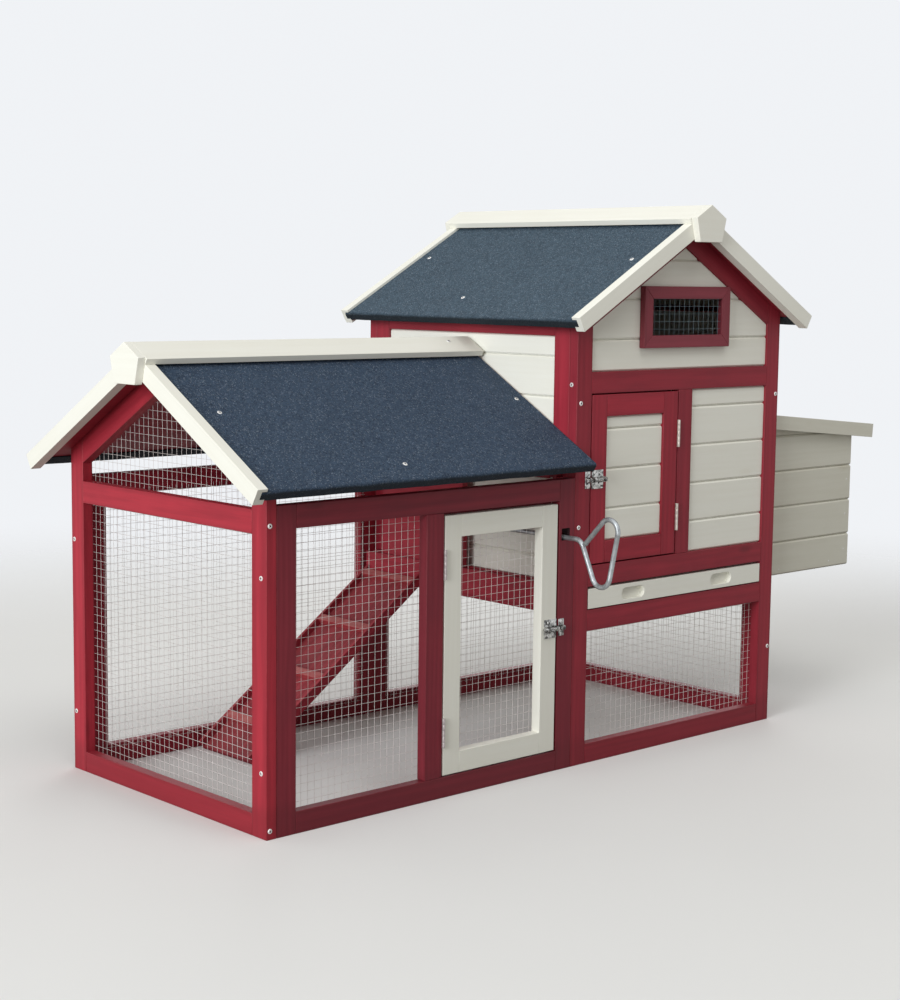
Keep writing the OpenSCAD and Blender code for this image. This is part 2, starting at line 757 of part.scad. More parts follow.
module house_front_frame() color(red) placed() at_house_front() {
    door_post = house_door_w - house_open;
    gable_posts(house_half, house_ridge_z);
    gable_rafters(house_half, house_ridge_z);
    rail(-house_open, house_open, 0, base_h);
    rail(-house_open, house_open, lower_z);
    rail(-house_open, house_open, sill_z);
    rail(-house_open, house_open, mid_z);
    stile(door_post, door_z, mid_z);
    door_stop(-house_open, door_post, mid_z);
}

// Space under the rafters of a house gable, above a level
module gable_space(z0) {
    apex = house_ridge_z - rafter_v - joint_gap;
    edge = house_open - joint_gap;
    prism_y(gable_outline(edge, z0, apex), frame_t);
}

module house_front_boards() color(white) placed() at_house_front() {
    hole = [vent_w - 2 * vent_edge, vent_h - 2 * vent_edge];
    difference() {
        intersection() {
            siding(-house_open, house_open, gable_z, house_ridge_z, gable_start_z);
            gable_space(gable_z);
        }
        translate([-hole[0] / 2, -1, vent_z - hole[1] / 2]) cube([hole[0], frame_t + 2, hole[1]]);
    }
    siding(house_door_w - house_open + stile_w, house_open, door_z, mid_z, board_start_z);
}

module house_front_mesh() color(steel) placed() at_house_front()
    net(-house_open, house_open, base_h, lower_z);

// Mitred picture frame that covers the edge of the vent hole
module vent_frame() color(red) placed() at_house_front() translate([0, board_recess - vent_t, vent_z]) {
    a = vent_w / 2;
    b = vent_h / 2;
    for (side = [0, 180]) rotate([0, side, 0]) {
        mitred(a - joint_gap, b);
        rotate([0, 90, 0]) mitred(b - joint_gap, a);
    }
}
// One mitred side, rebated for the mesh: half its length, and its distance from the middle
module mitred(half, out) union() {
    prism_y(mitre_section(half, out, vent_face), vent_lip);
    prism_y(mitre_section(half, out, vent_face - vent_lap), vent_t);
}
function mitre_section(half, out, face) =
    [[-half, out], [half, out], [half - face, out - face], [face - half, out - face]];

module vent_mesh() color(steel) placed() at_house_front() {
    w = vent_w - 2 * vent_face + 2 * vent_lap - 2 * joint_gap;
    h = vent_h - 2 * vent_face + 2 * vent_lap - 2 * joint_gap;
    y0 = board_recess - vent_t + vent_lip + joint_gap;
    translate([0, y0 - frame_t, vent_z]) net(-w / 2, w / 2, -h / 2, h / 2, 0);
}

module house_back_frame() color(red) placed() at_house_back() {
    gable_posts(house_half, house_ridge_z);
    gable_rafters(house_half, house_ridge_z);
    rail(-house_open, house_open, 0, base_h);
    rail(-house_open, house_open, lower_z);
    rail(-house_open, house_open, mid_z);
}

module house_back_boards() color(white) placed() at_house_back() {
    siding(-house_open, house_open, floor_z, mid_z, board_start_z);
    intersection() {
        siding(-house_open, house_open, gable_z, house_ridge_z, board_start_z);
        gable_space(gable_z);
    }
}

module house_back_mesh() color(steel) placed() at_house_back()
    net(-house_open, house_open, base_h, lower_z);

module divider_frame() color(red) placed() at_divider() {
    edge = side_l / 2 - joint_gap;
    half = side_open / 2;
    both_sides() post(half, divider_z, eave_z - joint_gap, edge - half);
    rail(-half, half, divider_z);
    rail(-half, half, top_z - joint_gap);
}

// The pop hole is placed from the house front, so it is mirrored into the divider's frame
module divider_boards() color(white) placed() at_divider() {
    half = side_open / 2;
    difference() {
        siding(-half, half, divider_z + rail_h, top_z - joint_gap, divider_start_z);
        translate([run_half - hole_y - hole_w, -1, hole_z]) cube([hole_w, frame_t + 2, hole_h]);
    }
}

module house_right_frame() color(red) placed() at_house_right() {
    edge = side_l / 2 - joint_gap;
    half = side_open / 2;
    both_sides() post(half, 0, eave_z - joint_gap, edge - half);
    rail(-half, half, 0, base_h);
    rail(-half, half, lower_z);
    rail(-half, half, header_z);
    rail(-half, half, top_z - joint_gap);
}

module house_right_boards() color(white) placed() at_house_right()
    siding(-side_open / 2, side_open / 2, header_z + rail_h, top_z - joint_gap, board_start_z);

module house_right_mesh() color(steel) placed() at_house_right()
    net(-side_open / 2, side_open / 2, base_h, lower_z);

// House roof

module at_house_roof() translate([x_house + house_half, house_roof_y0, 0]) children();

module house_roof_boards() color(red) placed() at_house_roof() both_sides()
    translate([joint_gap / 2, 0, 0])
        prism_y(roof_section(0, roof_t, house_slope_l, house_ridge_z), house_roof_l);

module house_felt() color(slate) placed() at_house_roof()
    felt(house_slope_l, house_ridge_z, house_roof_l, barge_groove + joint_gap);

module at_house_gables() {
    translate([x_house + house_half, -house_overhang, 0]) children();
    translate([x_house + house_half, depth + house_overhang_back, 0]) rotate([0, 0, 180]) children();
}

module house_barge_boards() color(white) placed() at_house_gables() barges(house_slope_l, house_ridge_z);

module house_ridge_cap() color(white) placed() translate([x_house + house_half, -house_overhang, 0])
    both_sides() translate([joint_gap / 2, 0, 0])
        prism_y(roof_section(barge_n, cap_n, cap_w, house_ridge_z), house_cap_l);

module house_ridge_plates() color(white) placed() at_house_gables()
    translate([0, -plate_t, 0]) ridge_plate(house_ridge_z);

// House door

module house_hinge_leaves() color(steel) placed() at_house_hinges() fixed_half();

module house_latch_keeper() color(steel) placed() at_house_latch() keeper(house_latch_gap);

module house_door_frame() color(red) placed() translate([house_leaf_x, 0, 0]) {
    w = house_door_stile_w;
    top = house_leaf_z + house_leaf_h;
    post(0, house_leaf_z, top, w);
    post(house_leaf_w - w, house_leaf_z, top, w);
    rail(w, house_leaf_w - w, house_leaf_z, w);
    rail(w, house_leaf_w - w, top - w, w);
}

module house_door_panel() color(white) placed() translate([house_leaf_x, 0, 0]) {
    w = house_door_stile_w;
    siding(w, house_leaf_w - w, house_leaf_z + w, house_leaf_z + house_leaf_h - w, door_start_z);
}

module house_door_hinges() color(steel) placed() at_house_hinges() moving_half();

module house_latch_plate() color(steel) placed() at_house_latch() latch_plate();

module house_latch_bolt() color(steel) placed() at_house_latch() latch_bolt();

// Tray

tray_w = 2 * house_open - 2 * tray_clear;
tray_z = floor_z + tray_clear;

module tray_front() color(white) placed() at_house_front() difference() {
    translate([-tray_w / 2, 0, tray_z]) cube([tray_w, frame_t, tray_front_h]);
    for (side = [-1, 1]) translate([side * grip_x, grip_d, tray_z + tray_front_h / 2])
        rotate([90, 0, 0]) linear_extrude(grip_d + 1) union() {
            square([grip_w - grip_h, grip_h], center = true);
            for (end = [-1, 1]) translate([end * (grip_w - grip_h) / 2, 0]) circle(d = grip_h);
        }
}

// A base board with a rim around it
module tray_pan() color("burlywood") placed() at_house_front() translate([-tray_w / 2, frame_t, tray_z]) {
    length = side_l - pan_gap;
    rim_z = pan_t + joint_gap;
    rim_h = pan_h - rim_z;
    cube([tray_w, length, pan_t]);
    for (x = [0, tray_w - pan_t]) translate([x, 0, rim_z]) cube([pan_t, length, rim_h]);
    for (y = [0, length - pan_t]) translate([pan_t + joint_gap, y, rim_z])
        cube([tray_w - 2 * pan_t - 2 * joint_gap, pan_t, rim_h]);
}

// Battens on the side walls that carry the pan
module tray_runners() color(red) placed() at_house_front() both_sides()
    translate([tray_w / 2 - runner_lap, frame_t + joint_gap, tray_z - runner_h])
        cube([house_half - frame_t - joint_gap - tray_w / 2 + runner_lap, side_l - 2 * joint_gap, runner_h]);

// Nest box

// Everything above the underside of the closed lid
module above_lid() at_lid() translate([-lid_l / 2, 0, -lid_under]) cube([2 * lid_l, depth, lid_l]);

module nest_sides() color(white) placed() difference() {
    union() {
        translate([nest_x, nest_inset, 0]) nest_boards(nest_l);
        translate([nest_x + nest_l, depth - nest_inset, 0]) rotate([0, 0, 180]) nest_boards(nest_l);
        translate([nest_x + nest_l, nest_inset + board_t, 0]) rotate([0, 0, 90])
            nest_boards(nest_w - 2 * board_t);
    }
    above_lid();
}
module nest_boards(l) translate([0, -board_recess, 0]) siding(0, l, nest_floor_z, lid_axis_z, board_start_z);

module nest_floor() color(white) placed()
    translate([nest_x + joint_gap, nest_inset + board_t + joint_gap, nest_floor_z])
        cube([nest_l - board_t - 2 * joint_gap, nest_w - 2 * board_t - 2 * joint_gap, board_t]);

module nest_divider() color(white) placed() difference() {
    translate([nest_x + joint_gap, run_half - board_t / 2, nest_floor_z + board_t + joint_gap])
        cube([nest_l - board_t - 2 * joint_gap, board_t, lid_axis_z - nest_floor_z - board_t]);
    above_lid();
}

// The lid's board lies between its rim boards, which start clear of the house wall
module nest_lid() color(white) placed() at_lid() {
    y0 = nest_inset - lid_clear - lid_rim_t;
    y1 = depth - nest_inset + lid_clear;
    inner = y1 - y0 - lid_rim_t - 2 * joint_gap;
    for (y = [y0, y1])
        translate([rim_start, y, -rim_foot]) cube([lid_l - rim_start, lid_rim_t, lid_rim_h]);
    translate([0, y0 + lid_rim_t + joint_gap, 0]) {
        translate([0, 0, -lid_under]) cube([lid_l - lid_rim_t - joint_gap, inner, lid_t]);
        translate([lid_l - lid_rim_t, 0, -rim_foot]) cube([lid_rim_t, inner, lid_rim_h]);
    }
}

module nest_hinge_leaves() color(steel) placed() at_lid_hinges()
    rotate([90, 0, 0]) fixed_half(-hinge_out);

module nest_lid_hinges() color(steel) placed() at_lid_hinges()
    rotate([0, 90 + lid_slope, 0]) rotate([90, 0, 0]) moving_half(hinge_out - leaf_t);

// Pop door

module guide(z0, h, slot_z) {
    l = depth - 2 * frame_t - 2 * guide_inset;
    slot = pop_t + 2 * guide_clear;
    translate([x_house - guide_d, frame_t + guide_inset, 0]) difference() {
        translate([0, 0, z0]) cube([guide_d - joint_gap, l, h]);
        translate([guide_lip, -1, slot_z]) cube([slot, l + 2, guide_groove + 1]);
    }
}

module pop_door_guides() color(red) placed() {
    guide(guide_z, guide_low_h, guide_z + guide_low_h - guide_groove);
    guide(guide_top_z, guide_top_h, guide_top_z - 1);
}

module pop_door() color(red) placed() difference() {
    translate([pop_x, pop_y, pop_z]) cube([pop_t, pop_w, pop_h]);
    translate([rod_x, pop_y - 1, rod_z]) rotate([-90, 0, 0])
        cylinder(r = rod_r + rod_clear, h = rod_in + 1);
}

// One rod bent in the plane x = rod_x: out of the door, down, and round a triangular grip back to itself
module rod_bar(a, b) {
    d = b - a;
    translate([0, a[0], a[1]]) rotate([atan2(d[1], d[0]) - 90, 0, 0]) cylinder(r = rod_r, h = norm(d));
}
// Bend at the corner b of the line a, b, c
module rod_bend(a, b, c, r) {
    t = bend_reach(a, b, c, r);
    centre = bend_centre(a, b, c, r);
    left = (b - a)[0] * (c - b)[1] - (b - a)[1] * (c - b)[0] > 0;
    first = left ? toward(b, a, t) : toward(b, c, t);
    translate([0, centre[0], centre[1]]) rotate([90, 0, 90])
        rotate([0, 0, atan2(first[1] - centre[1], first[0] - centre[0])])
            rotate_extrude(angle = turn_of(a, b, c)) translate([r, 0]) circle(r = rod_r + bend_swell);
}

module pull_rod() color(steel) placed() translate([rod_x, 0, 0]) union() {
    t0 = bend_reach(rod_start, rod_corner, grip_foot, rod_bend_r) - bend_lap;
    t1 = bend_reach(rod_corner, grip_foot, grip_top, grip_r) - bend_lap;
    t2 = bend_reach(grip_foot, grip_top, rod_end, grip_r) - bend_lap;
    rod_bar(rod_start, toward(rod_corner, rod_start, t0));
    rod_bend(rod_start, rod_corner, grip_foot, rod_bend_r);
    rod_bar(toward(rod_corner, grip_foot, t0), toward(grip_foot, rod_corner, t1));
    rod_bend(rod_corner, grip_foot, grip_top, grip_r);
    rod_bar(toward(grip_foot, grip_top, t1), toward(grip_top, grip_foot, t2));
    rod_bend(grip_foot, grip_top, rod_end, grip_r);
    rod_bar(toward(grip_top, rod_end, t2), rod_end);
}

// Ramp: a thin deck between two side rails, with cleats level with the rails

module at_ramp() translate([ramp_x, ramp_y, 0]) rotate([0, -ramp_a, 0]) children();

module ramp_deck() color(red) placed() {
    x_top = x_house - guide_d - joint_gap;
    intersection() {
        at_ramp() {
            for (y = [0, ramp_w - ramp_rail_t])
                translate([0, y, 0]) cube([2 * ramp_run, ramp_rail_t, ramp_rail_h]);
            translate([0, ramp_rail_t + joint_gap, 0]) cube([2 * ramp_run, ramp_inner, ramp_deck_t]);
        }
        cube([x_top, depth, ramp_top_z + ramp_rail_h]);
    }
}

module ramp_cleats() color(red) placed() at_ramp() {
    upper = ramp_run / cos(ramp_a) + ramp_deck_t * tan(ramp_a) - cleat_start;
    low = ramp_deck_t + joint_gap;
    for (k = [0:cleats - 1])
        translate([upper - cleat_w - k * cleat_pitch, ramp_rail_t + joint_gap, low])
            cube([cleat_w, ramp_inner, ramp_rail_h - low]);
}

// Perch with a rounded top, from the door's inner stile to the back wall
module perch() color("burlywood") placed() {
    length = depth - frame_t - board_recess - board_t - 2 * joint_gap;
    r = perch_w / 2;
    translate([x_house + stile_w + house_door_w + stile_w / 2, frame_t + joint_gap, perch_z]) union() {
        translate([-r, 0, 0]) cube([perch_w, length, perch_h - r]);
        translate([0, 0, perch_h - r]) rotate([-90, 0, 0]) cylinder(r = r, h = length);
    }
}

run_end_frame();
run_end_mesh();
run_front_frame();
run_front_mesh();
run_back_frame();
run_back_mesh();
run_roof_bearer();
run_roof_boards();
run_felt();
run_barge_boards();
run_ridge_cap();
run_ridge_plate();
run_hinge_leaves();
run_latch_keeper();
house_front_frame();
house_front_boards();
house_front_mesh();
vent_frame();
vent_mesh();
house_back_frame();
house_back_boards();
house_back_mesh();
divider_frame();
divider_boards();
house_right_frame();
house_right_boards();
house_right_mesh();
house_roof_boards();
house_felt();
house_barge_boards();
house_ridge_cap();
house_ridge_plates();
house_hinge_leaves();
house_latch_keeper();
tray_runners();
nest_sides();
nest_floor();
nest_divider();
nest_hinge_leaves();
pop_door_guides();
ramp_deck();
ramp_cleats();
perch();
run_door_frame();
run_door_mesh();
run_door_hinges();
run_latch_plate();
run_latch_bolt();
house_door_frame();
house_door_panel();
house_door_hinges();
house_latch_plate();
house_latch_bolt();
tray_front();
tray_pan();
nest_lid();
nest_lid_hinges();
pop_door();
pull_rod();
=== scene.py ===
"""Chicken coop: painted timber, welded mesh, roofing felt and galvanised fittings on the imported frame."""
import json
import math
import random

import bmesh
import bpy
from mathutils import Matrix, Vector, noise

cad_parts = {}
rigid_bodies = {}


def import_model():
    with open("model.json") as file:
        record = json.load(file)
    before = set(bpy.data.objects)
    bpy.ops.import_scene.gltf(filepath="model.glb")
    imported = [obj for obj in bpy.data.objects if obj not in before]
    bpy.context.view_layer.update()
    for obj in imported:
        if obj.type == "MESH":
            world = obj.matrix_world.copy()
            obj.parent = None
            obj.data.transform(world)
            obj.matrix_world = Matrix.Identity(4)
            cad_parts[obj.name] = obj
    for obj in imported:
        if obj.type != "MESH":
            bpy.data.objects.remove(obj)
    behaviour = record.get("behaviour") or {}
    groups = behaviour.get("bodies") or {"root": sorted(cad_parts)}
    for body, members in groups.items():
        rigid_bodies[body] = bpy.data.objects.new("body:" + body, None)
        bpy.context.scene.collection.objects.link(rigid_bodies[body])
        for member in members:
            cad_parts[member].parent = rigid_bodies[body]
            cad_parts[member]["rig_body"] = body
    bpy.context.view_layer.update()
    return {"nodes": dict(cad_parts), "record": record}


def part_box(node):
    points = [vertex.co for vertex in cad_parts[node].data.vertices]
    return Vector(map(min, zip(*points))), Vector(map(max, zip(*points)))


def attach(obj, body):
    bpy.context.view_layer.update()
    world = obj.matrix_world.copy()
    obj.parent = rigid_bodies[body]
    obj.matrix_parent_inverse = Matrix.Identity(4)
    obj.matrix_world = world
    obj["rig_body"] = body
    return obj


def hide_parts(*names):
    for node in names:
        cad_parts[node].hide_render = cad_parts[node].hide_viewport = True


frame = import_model()
nodes = frame["nodes"]
slot_of = {p["node"]: p["material_slot"] for p in frame["record"]["subparts"]}
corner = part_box("run_end_frame")[0]

# Both roofs slope by 30 degrees
SLOPE_SIN, SLOPE_COS = 0.5, math.sqrt(0.75)
SLOPE_TAN = SLOPE_SIN / SLOPE_COS

# Main sizes of the coop, in millimetres from the run's front corner on the ground
COOP_LENGTH, COOP_DEPTH = 1150, 520
HOUSE_LEFT = 624
RUN_RIDGE_Y, RUN_RIDGE_Z = 260, 672
HOUSE_RIDGE_X, HOUSE_RIDGE_Z = 887, 897


def at(x, y, z):
    """A point given in millimetres from the run's front corner on the ground, in the shared frame."""
    return corner + Vector((x, y, z)) / 1000


# Node trees

class Value:
    """An output in a node tree. Arithmetic on it adds Math nodes."""

    def __init__(self, graph, socket):
        self.graph, self.socket = graph, socket

    def math(self, operation, *others):
        return self.graph.math(operation, self, *others)

    def __add__(self, other):
        return self.math("ADD", other)

    def __radd__(self, other):
        return self.graph.math("ADD", other, self)

    def __sub__(self, other):
        return self.math("SUBTRACT", other)

    def __rsub__(self, other):
        return self.graph.math("SUBTRACT", other, self)

    def __mul__(self, other):
        return self.math("MULTIPLY", other)

    def __rmul__(self, other):
        return self.graph.math("MULTIPLY", other, self)

    def __truediv__(self, other):
        return self.math("DIVIDE", other)

    def __rtruediv__(self, other):
        return self.graph.math("DIVIDE", other, self)

    def __abs__(self):
        return self.math("ABSOLUTE")

    def band(self, low, high):
        """0 below low, 1 above high, and smooth between."""
        return self.graph.add("ShaderNodeMapRange", {"interpolation_type": "SMOOTHSTEP"},
                              {"Value": self, "From Min": low, "From Max": high})["Result"]


class Made:
    """A new node's outputs, by name or place."""

    def __init__(self, graph, node):
        self.graph, self.node = graph, node

    def __getitem__(self, key):
        return Value(self.graph, self.node.outputs[key])


class Graph:
    """A node tree that is written as expressions."""

    def __init__(self, tree):
        self.tree = tree

    def feed(self, socket, value):
        """A link or a plain value for a socket."""
        if isinstance(value, Value):
            self.tree.links.new(value.socket, socket)
        else:
            socket.default_value = value

    def add(self, kind, settings=None, sockets=None):
        """Any node: its settings first, then the values or links of its sockets."""
        node = self.tree.nodes.new(kind)
        for key, value in (settings or {}).items():
            setattr(node, key, value)
        for key, value in (sockets or {}).items():
            self.feed(node.inputs[key], value)
        return Made(self, node)

    def math(self, operation, *values):
        return self.add("ShaderNodeMath", {"operation": operation}, dict(enumerate(values)))[0]

    def vector(self, operation, *values):
        return self.add("ShaderNodeVectorMath", {"operation": operation}, dict(enumerate(values)))[0]

    def stretch(self, place, x, y, z):
        return self.vector("MULTIPLY", place, (x, y, z))

    def point(self, x=0.0, y=0.0, z=0.0):
        return self.add("ShaderNodeCombineXYZ", {}, {0: x, 1: y, 2: z})[0]

    def split(self, vector):
        return self.add("ShaderNodeSeparateXYZ", {}, {0: vector})

    def channels(self, colour):
        return self.add("ShaderNodeSeparateColor", {}, {0: colour})

    def mix(self, factor, a, b):
        """A colour between two colours."""
        a, b = ((*c, 1) if isinstance(c, tuple) else c for c in (a, b))
        return self.add("ShaderNodeMix", {"data_type": "RGBA", "clamp_factor": True},
                        {0: factor, 6: a, 7: b})[2]

    def object_place(self):
        return self.add("ShaderNodeTexCoord")["Object"]

    def attribute(self, name, output="Fac"):
        return self.add("ShaderNodeAttribute", {"attribute_name": name})[output]

    def noise(self, place, scale, detail=3.0, rough=0.5):
        return self.add("ShaderNodeTexNoise", {}, {
            "Vector": place, "Scale": scale, "Detail": detail, "Roughness": rough})["Fac"]

    def cells(self, place, scale):
        return self.add("ShaderNodeTexVoronoi", {}, {"Vector": place, "Scale": scale})

    def bump(self, strength, depth, height):
        return self.add("ShaderNodeBump", {}, {
            "Strength": strength, "Distance": depth, "Height": height})["Normal"]


def material(name):
    """A new material, its graph and its surface shader."""
    made = bpy.data.materials.new(name)
    made.use_nodes = True
    return made, Graph(made.node_tree), made.node_tree.nodes["Principled BSDF"]


def finish_surface(graph, shader, **sockets):
    """Links or values for a shader's sockets, with underscores for the spaces in their names."""
    for key, value in sockets.items():
        graph.feed(shader.inputs[key.replace("_", " ")], value)


# Materials

# Growth rings are a wave, in radians per metre; paint is darker below a height in metres
RING_WAVE = 700
LOW_DARK_FROM, LOW_DARK_TO = 0.03, 0.06
DUST = (0.5, 0.27, 0.24)
LATE_WOOD, EARLY_WOOD, BARE_KNOT = (0.5, 0.31, 0.16), (0.72, 0.53, 0.32), (0.2, 0.09, 0.035)
GRANULES_PER_METRE, FINE_GRANULES_PER_METRE = 640, 1400
PALE_GRANULE = (0.32, 0.38, 0.45)
# Painted shade on the felt's folded eaves
FOLD_SHADE = (0.01, 0.014, 0.018)
# Painted shade in recesses
RECESS_SHADE = (0.03, 0.03, 0.032)


def timber_figure(g):
    """Figure of a board in its own coordinates: tint, fine and broad streaks, growth rings and knots."""
    along = g.attribute("grain", "Vector")
    tint = g.attribute("tint")
    streak = g.noise(g.stretch(along, 14, 420, 420), 1.0, 4, 0.6)
    broad = g.noise(g.stretch(along, 5, 75, 75), 1.0, 3, 0.55)
    bend = g.noise(g.stretch(along, 5, 22, 22), 1.0, 2, 0.5)
    across = g.split(along)
    radius = (across[1] * across[1] + across[2] * across[2]).math("SQRT")
    ring = (radius * RING_WAVE + bend * 7).math("SINE") * 0.5 + 0.5
    cells = g.cells(g.stretch(along, 6, 16, 16), 1.0)
    chosen = g.channels(cells["Color"])[0].band(0.45, 0.47)
    knot = (1 - cells["Distance"].band(0.03, 0.17)) * chosen
    return tint, streak, broad, ring, knot


def painted_timber(name, colour, deep, rubbed, knotted, gloss=0.46, relief=0.16, pooled=0.34, dusty=0.0):
    """Satin paint over softwood: streaks and knots show through, stain pools along the sides, the paint is
    darker near the ground, and dust lies on top."""
    made, g, shader = material(name)
    tint, streak, broad, ring, knot = timber_figure(g)
    edge = g.attribute("edge")
    side = g.split(g.attribute("across", "Vector"))
    rim = abs(side[1]).math("MINIMUM", abs(side[2]))
    place = g.object_place()
    cloud = g.noise(place, 9, 3, 0.6)
    patch = g.noise(place, 60, 4, 0.65)
    height = g.split(place)[2]
    # Darker paint near the ground
    low_darkening = (1 - height.band(LOW_DARK_FROM, LOW_DARK_TO)) * (cloud.band(0.2, 0.8) * 0.5 + 0.5)
    shade = streak * 0.25 + broad * 0.4 + ring * 0.07 + cloud * 0.28 + (tint - 0.5) * 0.14
    paint = g.mix(shade.band(0.3, 0.72), deep, colour)
    paint = g.mix((rim + (broad - 0.5) * 0.6).band(0.55, 1.05) * pooled, paint, knotted)
    paint = g.mix(knot * 0.6, paint, knotted)
    paint = g.mix(edge * patch.band(0.42, 0.7) * 0.2, paint, rubbed)
    paint = g.mix(low_darkening * 0.45, paint, knotted)
    if dusty:
        up = g.split(g.add("ShaderNodeNewGeometry")["Normal"])[2]
        settled = up.band(0.1, 0.6) * (patch * 0.5 + streak * 0.5).band(0.2, 0.8)
        paint = g.mix(settled * dusty, paint, DUST)
    bump = g.bump(relief, 0.0004, streak * 0.6 + ring * 0.25 + patch * 0.3 + knot * 0.6)
    finish_surface(g, shader, Base_Color=paint, Roughness=gloss + streak * 0.12 + cloud * 0.1 - edge * 0.05,
                   Specular_IOR_Level=0.3, Normal=bump)
    return made


def bare_timber(name):
    """Unpainted pine with growth rings."""
    made, g, shader = material(name)
    tint, streak, broad, ring, knot = timber_figure(g)
    wood = g.mix((ring * 0.6 + streak * 0.5 + tint * 0.2).band(0.2, 1.0), LATE_WOOD, EARLY_WOOD)
    wood = g.mix(knot * 0.8, wood, BARE_KNOT)
    bump = g.bump(0.35, 0.0006, streak + ring * 0.4)
    finish_surface(g, shader, Base_Color=wood, Roughness=0.62 + streak * 0.2, Normal=bump)
    return made


def mineral_felt(name, bitumen, granules):
    """Slate grey granules on bitumen, some of them pale; the folded edge and what lies below the slope carry
    painted shade.
    """
    made, g, shader = material(name)
    place = g.object_place()
    fold_shade = g.attribute("fold_shade")
    grains = g.cells(place, GRANULES_PER_METRE)
    tone = g.channels(grains["Color"])
    fine = g.channels(g.cells(place, FINE_GRANULES_PER_METRE)["Color"])
    cloud = g.noise(place, 7, 4, 0.6)
    worn = g.noise(place, 38, 3, 0.6)
    mottle = g.noise(place, 165, 2, 0.5)
    level = tone[0] * 0.32 + fine[1] * 0.3 + cloud * 0.15 + worn * 0.15 + (mottle - 0.5) * 0.55 + 0.12
    colour = g.mix(level.band(0.15, 0.95), bitumen, granules)
    colour = g.mix(tone[2].band(0.87, 0.97) * 0.55, colour, PALE_GRANULE)
    # Painted shade on the folded eave
    colour = g.mix(fold_shade * (0.72 + mottle * 0.3), colour, FOLD_SHADE)
    bump = g.bump(0.6, 0.0009, 1 - grains["Distance"] * 500 + fine[0] * 0.3)
    finish_surface(g, shader, Base_Color=colour, Roughness=0.82 + tone[1] * 0.12, Specular_IOR_Level=0.25,
                   Normal=bump)
    return made


def galvanised(name, colour, metal, gloss, tarnish, grain):
    """Zinc-coated steel with a faint spangle and darker tarnish; a screw's recess carries painted shade."""
    made, g, shader = material(name)
    place = g.object_place()
    recess_shade = g.attribute("recess_shade")
    spangle = g.channels(g.cells(place, grain)["Color"])[0]
    cloud = g.noise(place, grain * 0.5, 4, 0.6)
    dull = tuple(c * (1 - tarnish) for c in colour)
    steel = g.mix((spangle * 0.6 + cloud * 0.4).band(0.15, 0.75), dull, colour)
    # Painted shade in a screw's recess
    steel = g.mix(recess_shade, steel, RECESS_SHADE)
    bump = g.bump(0.15, 0.0003, cloud + spangle * 0.4)
    finish_surface(g, shader, Base_Color=steel, Metallic=metal, Roughness=gloss + cloud * 0.18, Normal=bump)
    return made


red_paint = painted_timber("red_paint_on_pine", (0.37, 0.023, 0.041), (0.235, 0.0115, 0.024),
                           (0.42, 0.055, 0.075), (0.13, 0.008, 0.013))
# A lighter copy of the red paint for the run's end frame: painted light, as on a side that faces the light
end_paint_lit = painted_timber("red_paint_with_painted_light", (0.444, 0.0276, 0.046), (0.285, 0.0138, 0.027),
                           (0.5, 0.066, 0.084), (0.156, 0.0096, 0.0146))
# A darker copy of the red paint for the house's front frame: painted shade, as on a side that faces away from
# the light
front_paint_shaded = painted_timber("red_paint_with_painted_shade", (0.315, 0.0223, 0.038), (0.2, 0.0112, 0.0223),
                             (0.38, 0.053, 0.07), (0.11, 0.0078, 0.012))
# A still darker copy of the red paint for the run's front frame: painted shade under the run's eave
front_paint_deep_shade = painted_timber("red_paint_with_deep_painted_shade", (0.24, 0.0212, 0.035), (0.15, 0.0106, 0.0205),
                             (0.31, 0.05, 0.065), (0.085, 0.0074, 0.011))
vent_paint = painted_timber("dull_red_paint_on_pine", (0.248, 0.041, 0.058), (0.172, 0.026, 0.037),
                            (0.32, 0.08, 0.09), (0.095, 0.012, 0.016), gloss=0.5, pooled=0.25)
# Near black for the walls of the pull rod's hole: painted shade
hole_shade = painted_timber("painted_shade_in_rod_hole", (0.03, 0.009, 0.01), (0.018, 0.006, 0.007),
                            (0.06, 0.015, 0.016), (0.012, 0.005, 0.005), gloss=0.7, pooled=0.0)
ramp_paint = painted_timber("trodden_red_paint_on_pine", (0.37, 0.026, 0.044), (0.165, 0.009, 0.018),
                            (0.5, 0.2, 0.19), (0.14, 0.01, 0.014),
                            gloss=0.58, relief=0.4, pooled=0.3, dusty=0.14)
cleat_paint = painted_timber("worn_red_paint_on_pine", (0.38, 0.05, 0.058), (0.26, 0.024, 0.032),
                             (0.5, 0.2, 0.19), (0.16, 0.014, 0.018),
                             gloss=0.6, relief=0.4, pooled=0.0, dusty=0.55)
white_paint = painted_timber("white_paint_on_pine", (0.85, 0.843, 0.77), (0.815, 0.802, 0.72),
                             (0.8, 0.76, 0.66), (0.77, 0.745, 0.65), gloss=0.45, relief=0.05, pooled=0.0)
# A darker, warmer copy of the white paint for the nest box: cream paint, with painted shade from the house
# beside it
nest_paint_shaded = painted_timber("cream_paint_with_painted_shade", (0.67, 0.655, 0.57), (0.62, 0.6, 0.51),
                            (0.64, 0.6, 0.5), (0.56, 0.53, 0.43), gloss=0.45, relief=0.05, pooled=0.0)
pine = bare_timber("bare_pine")
run_felt = mineral_felt("run_mineral_felt", (0.0175, 0.0295, 0.053), (0.077, 0.125, 0.203))
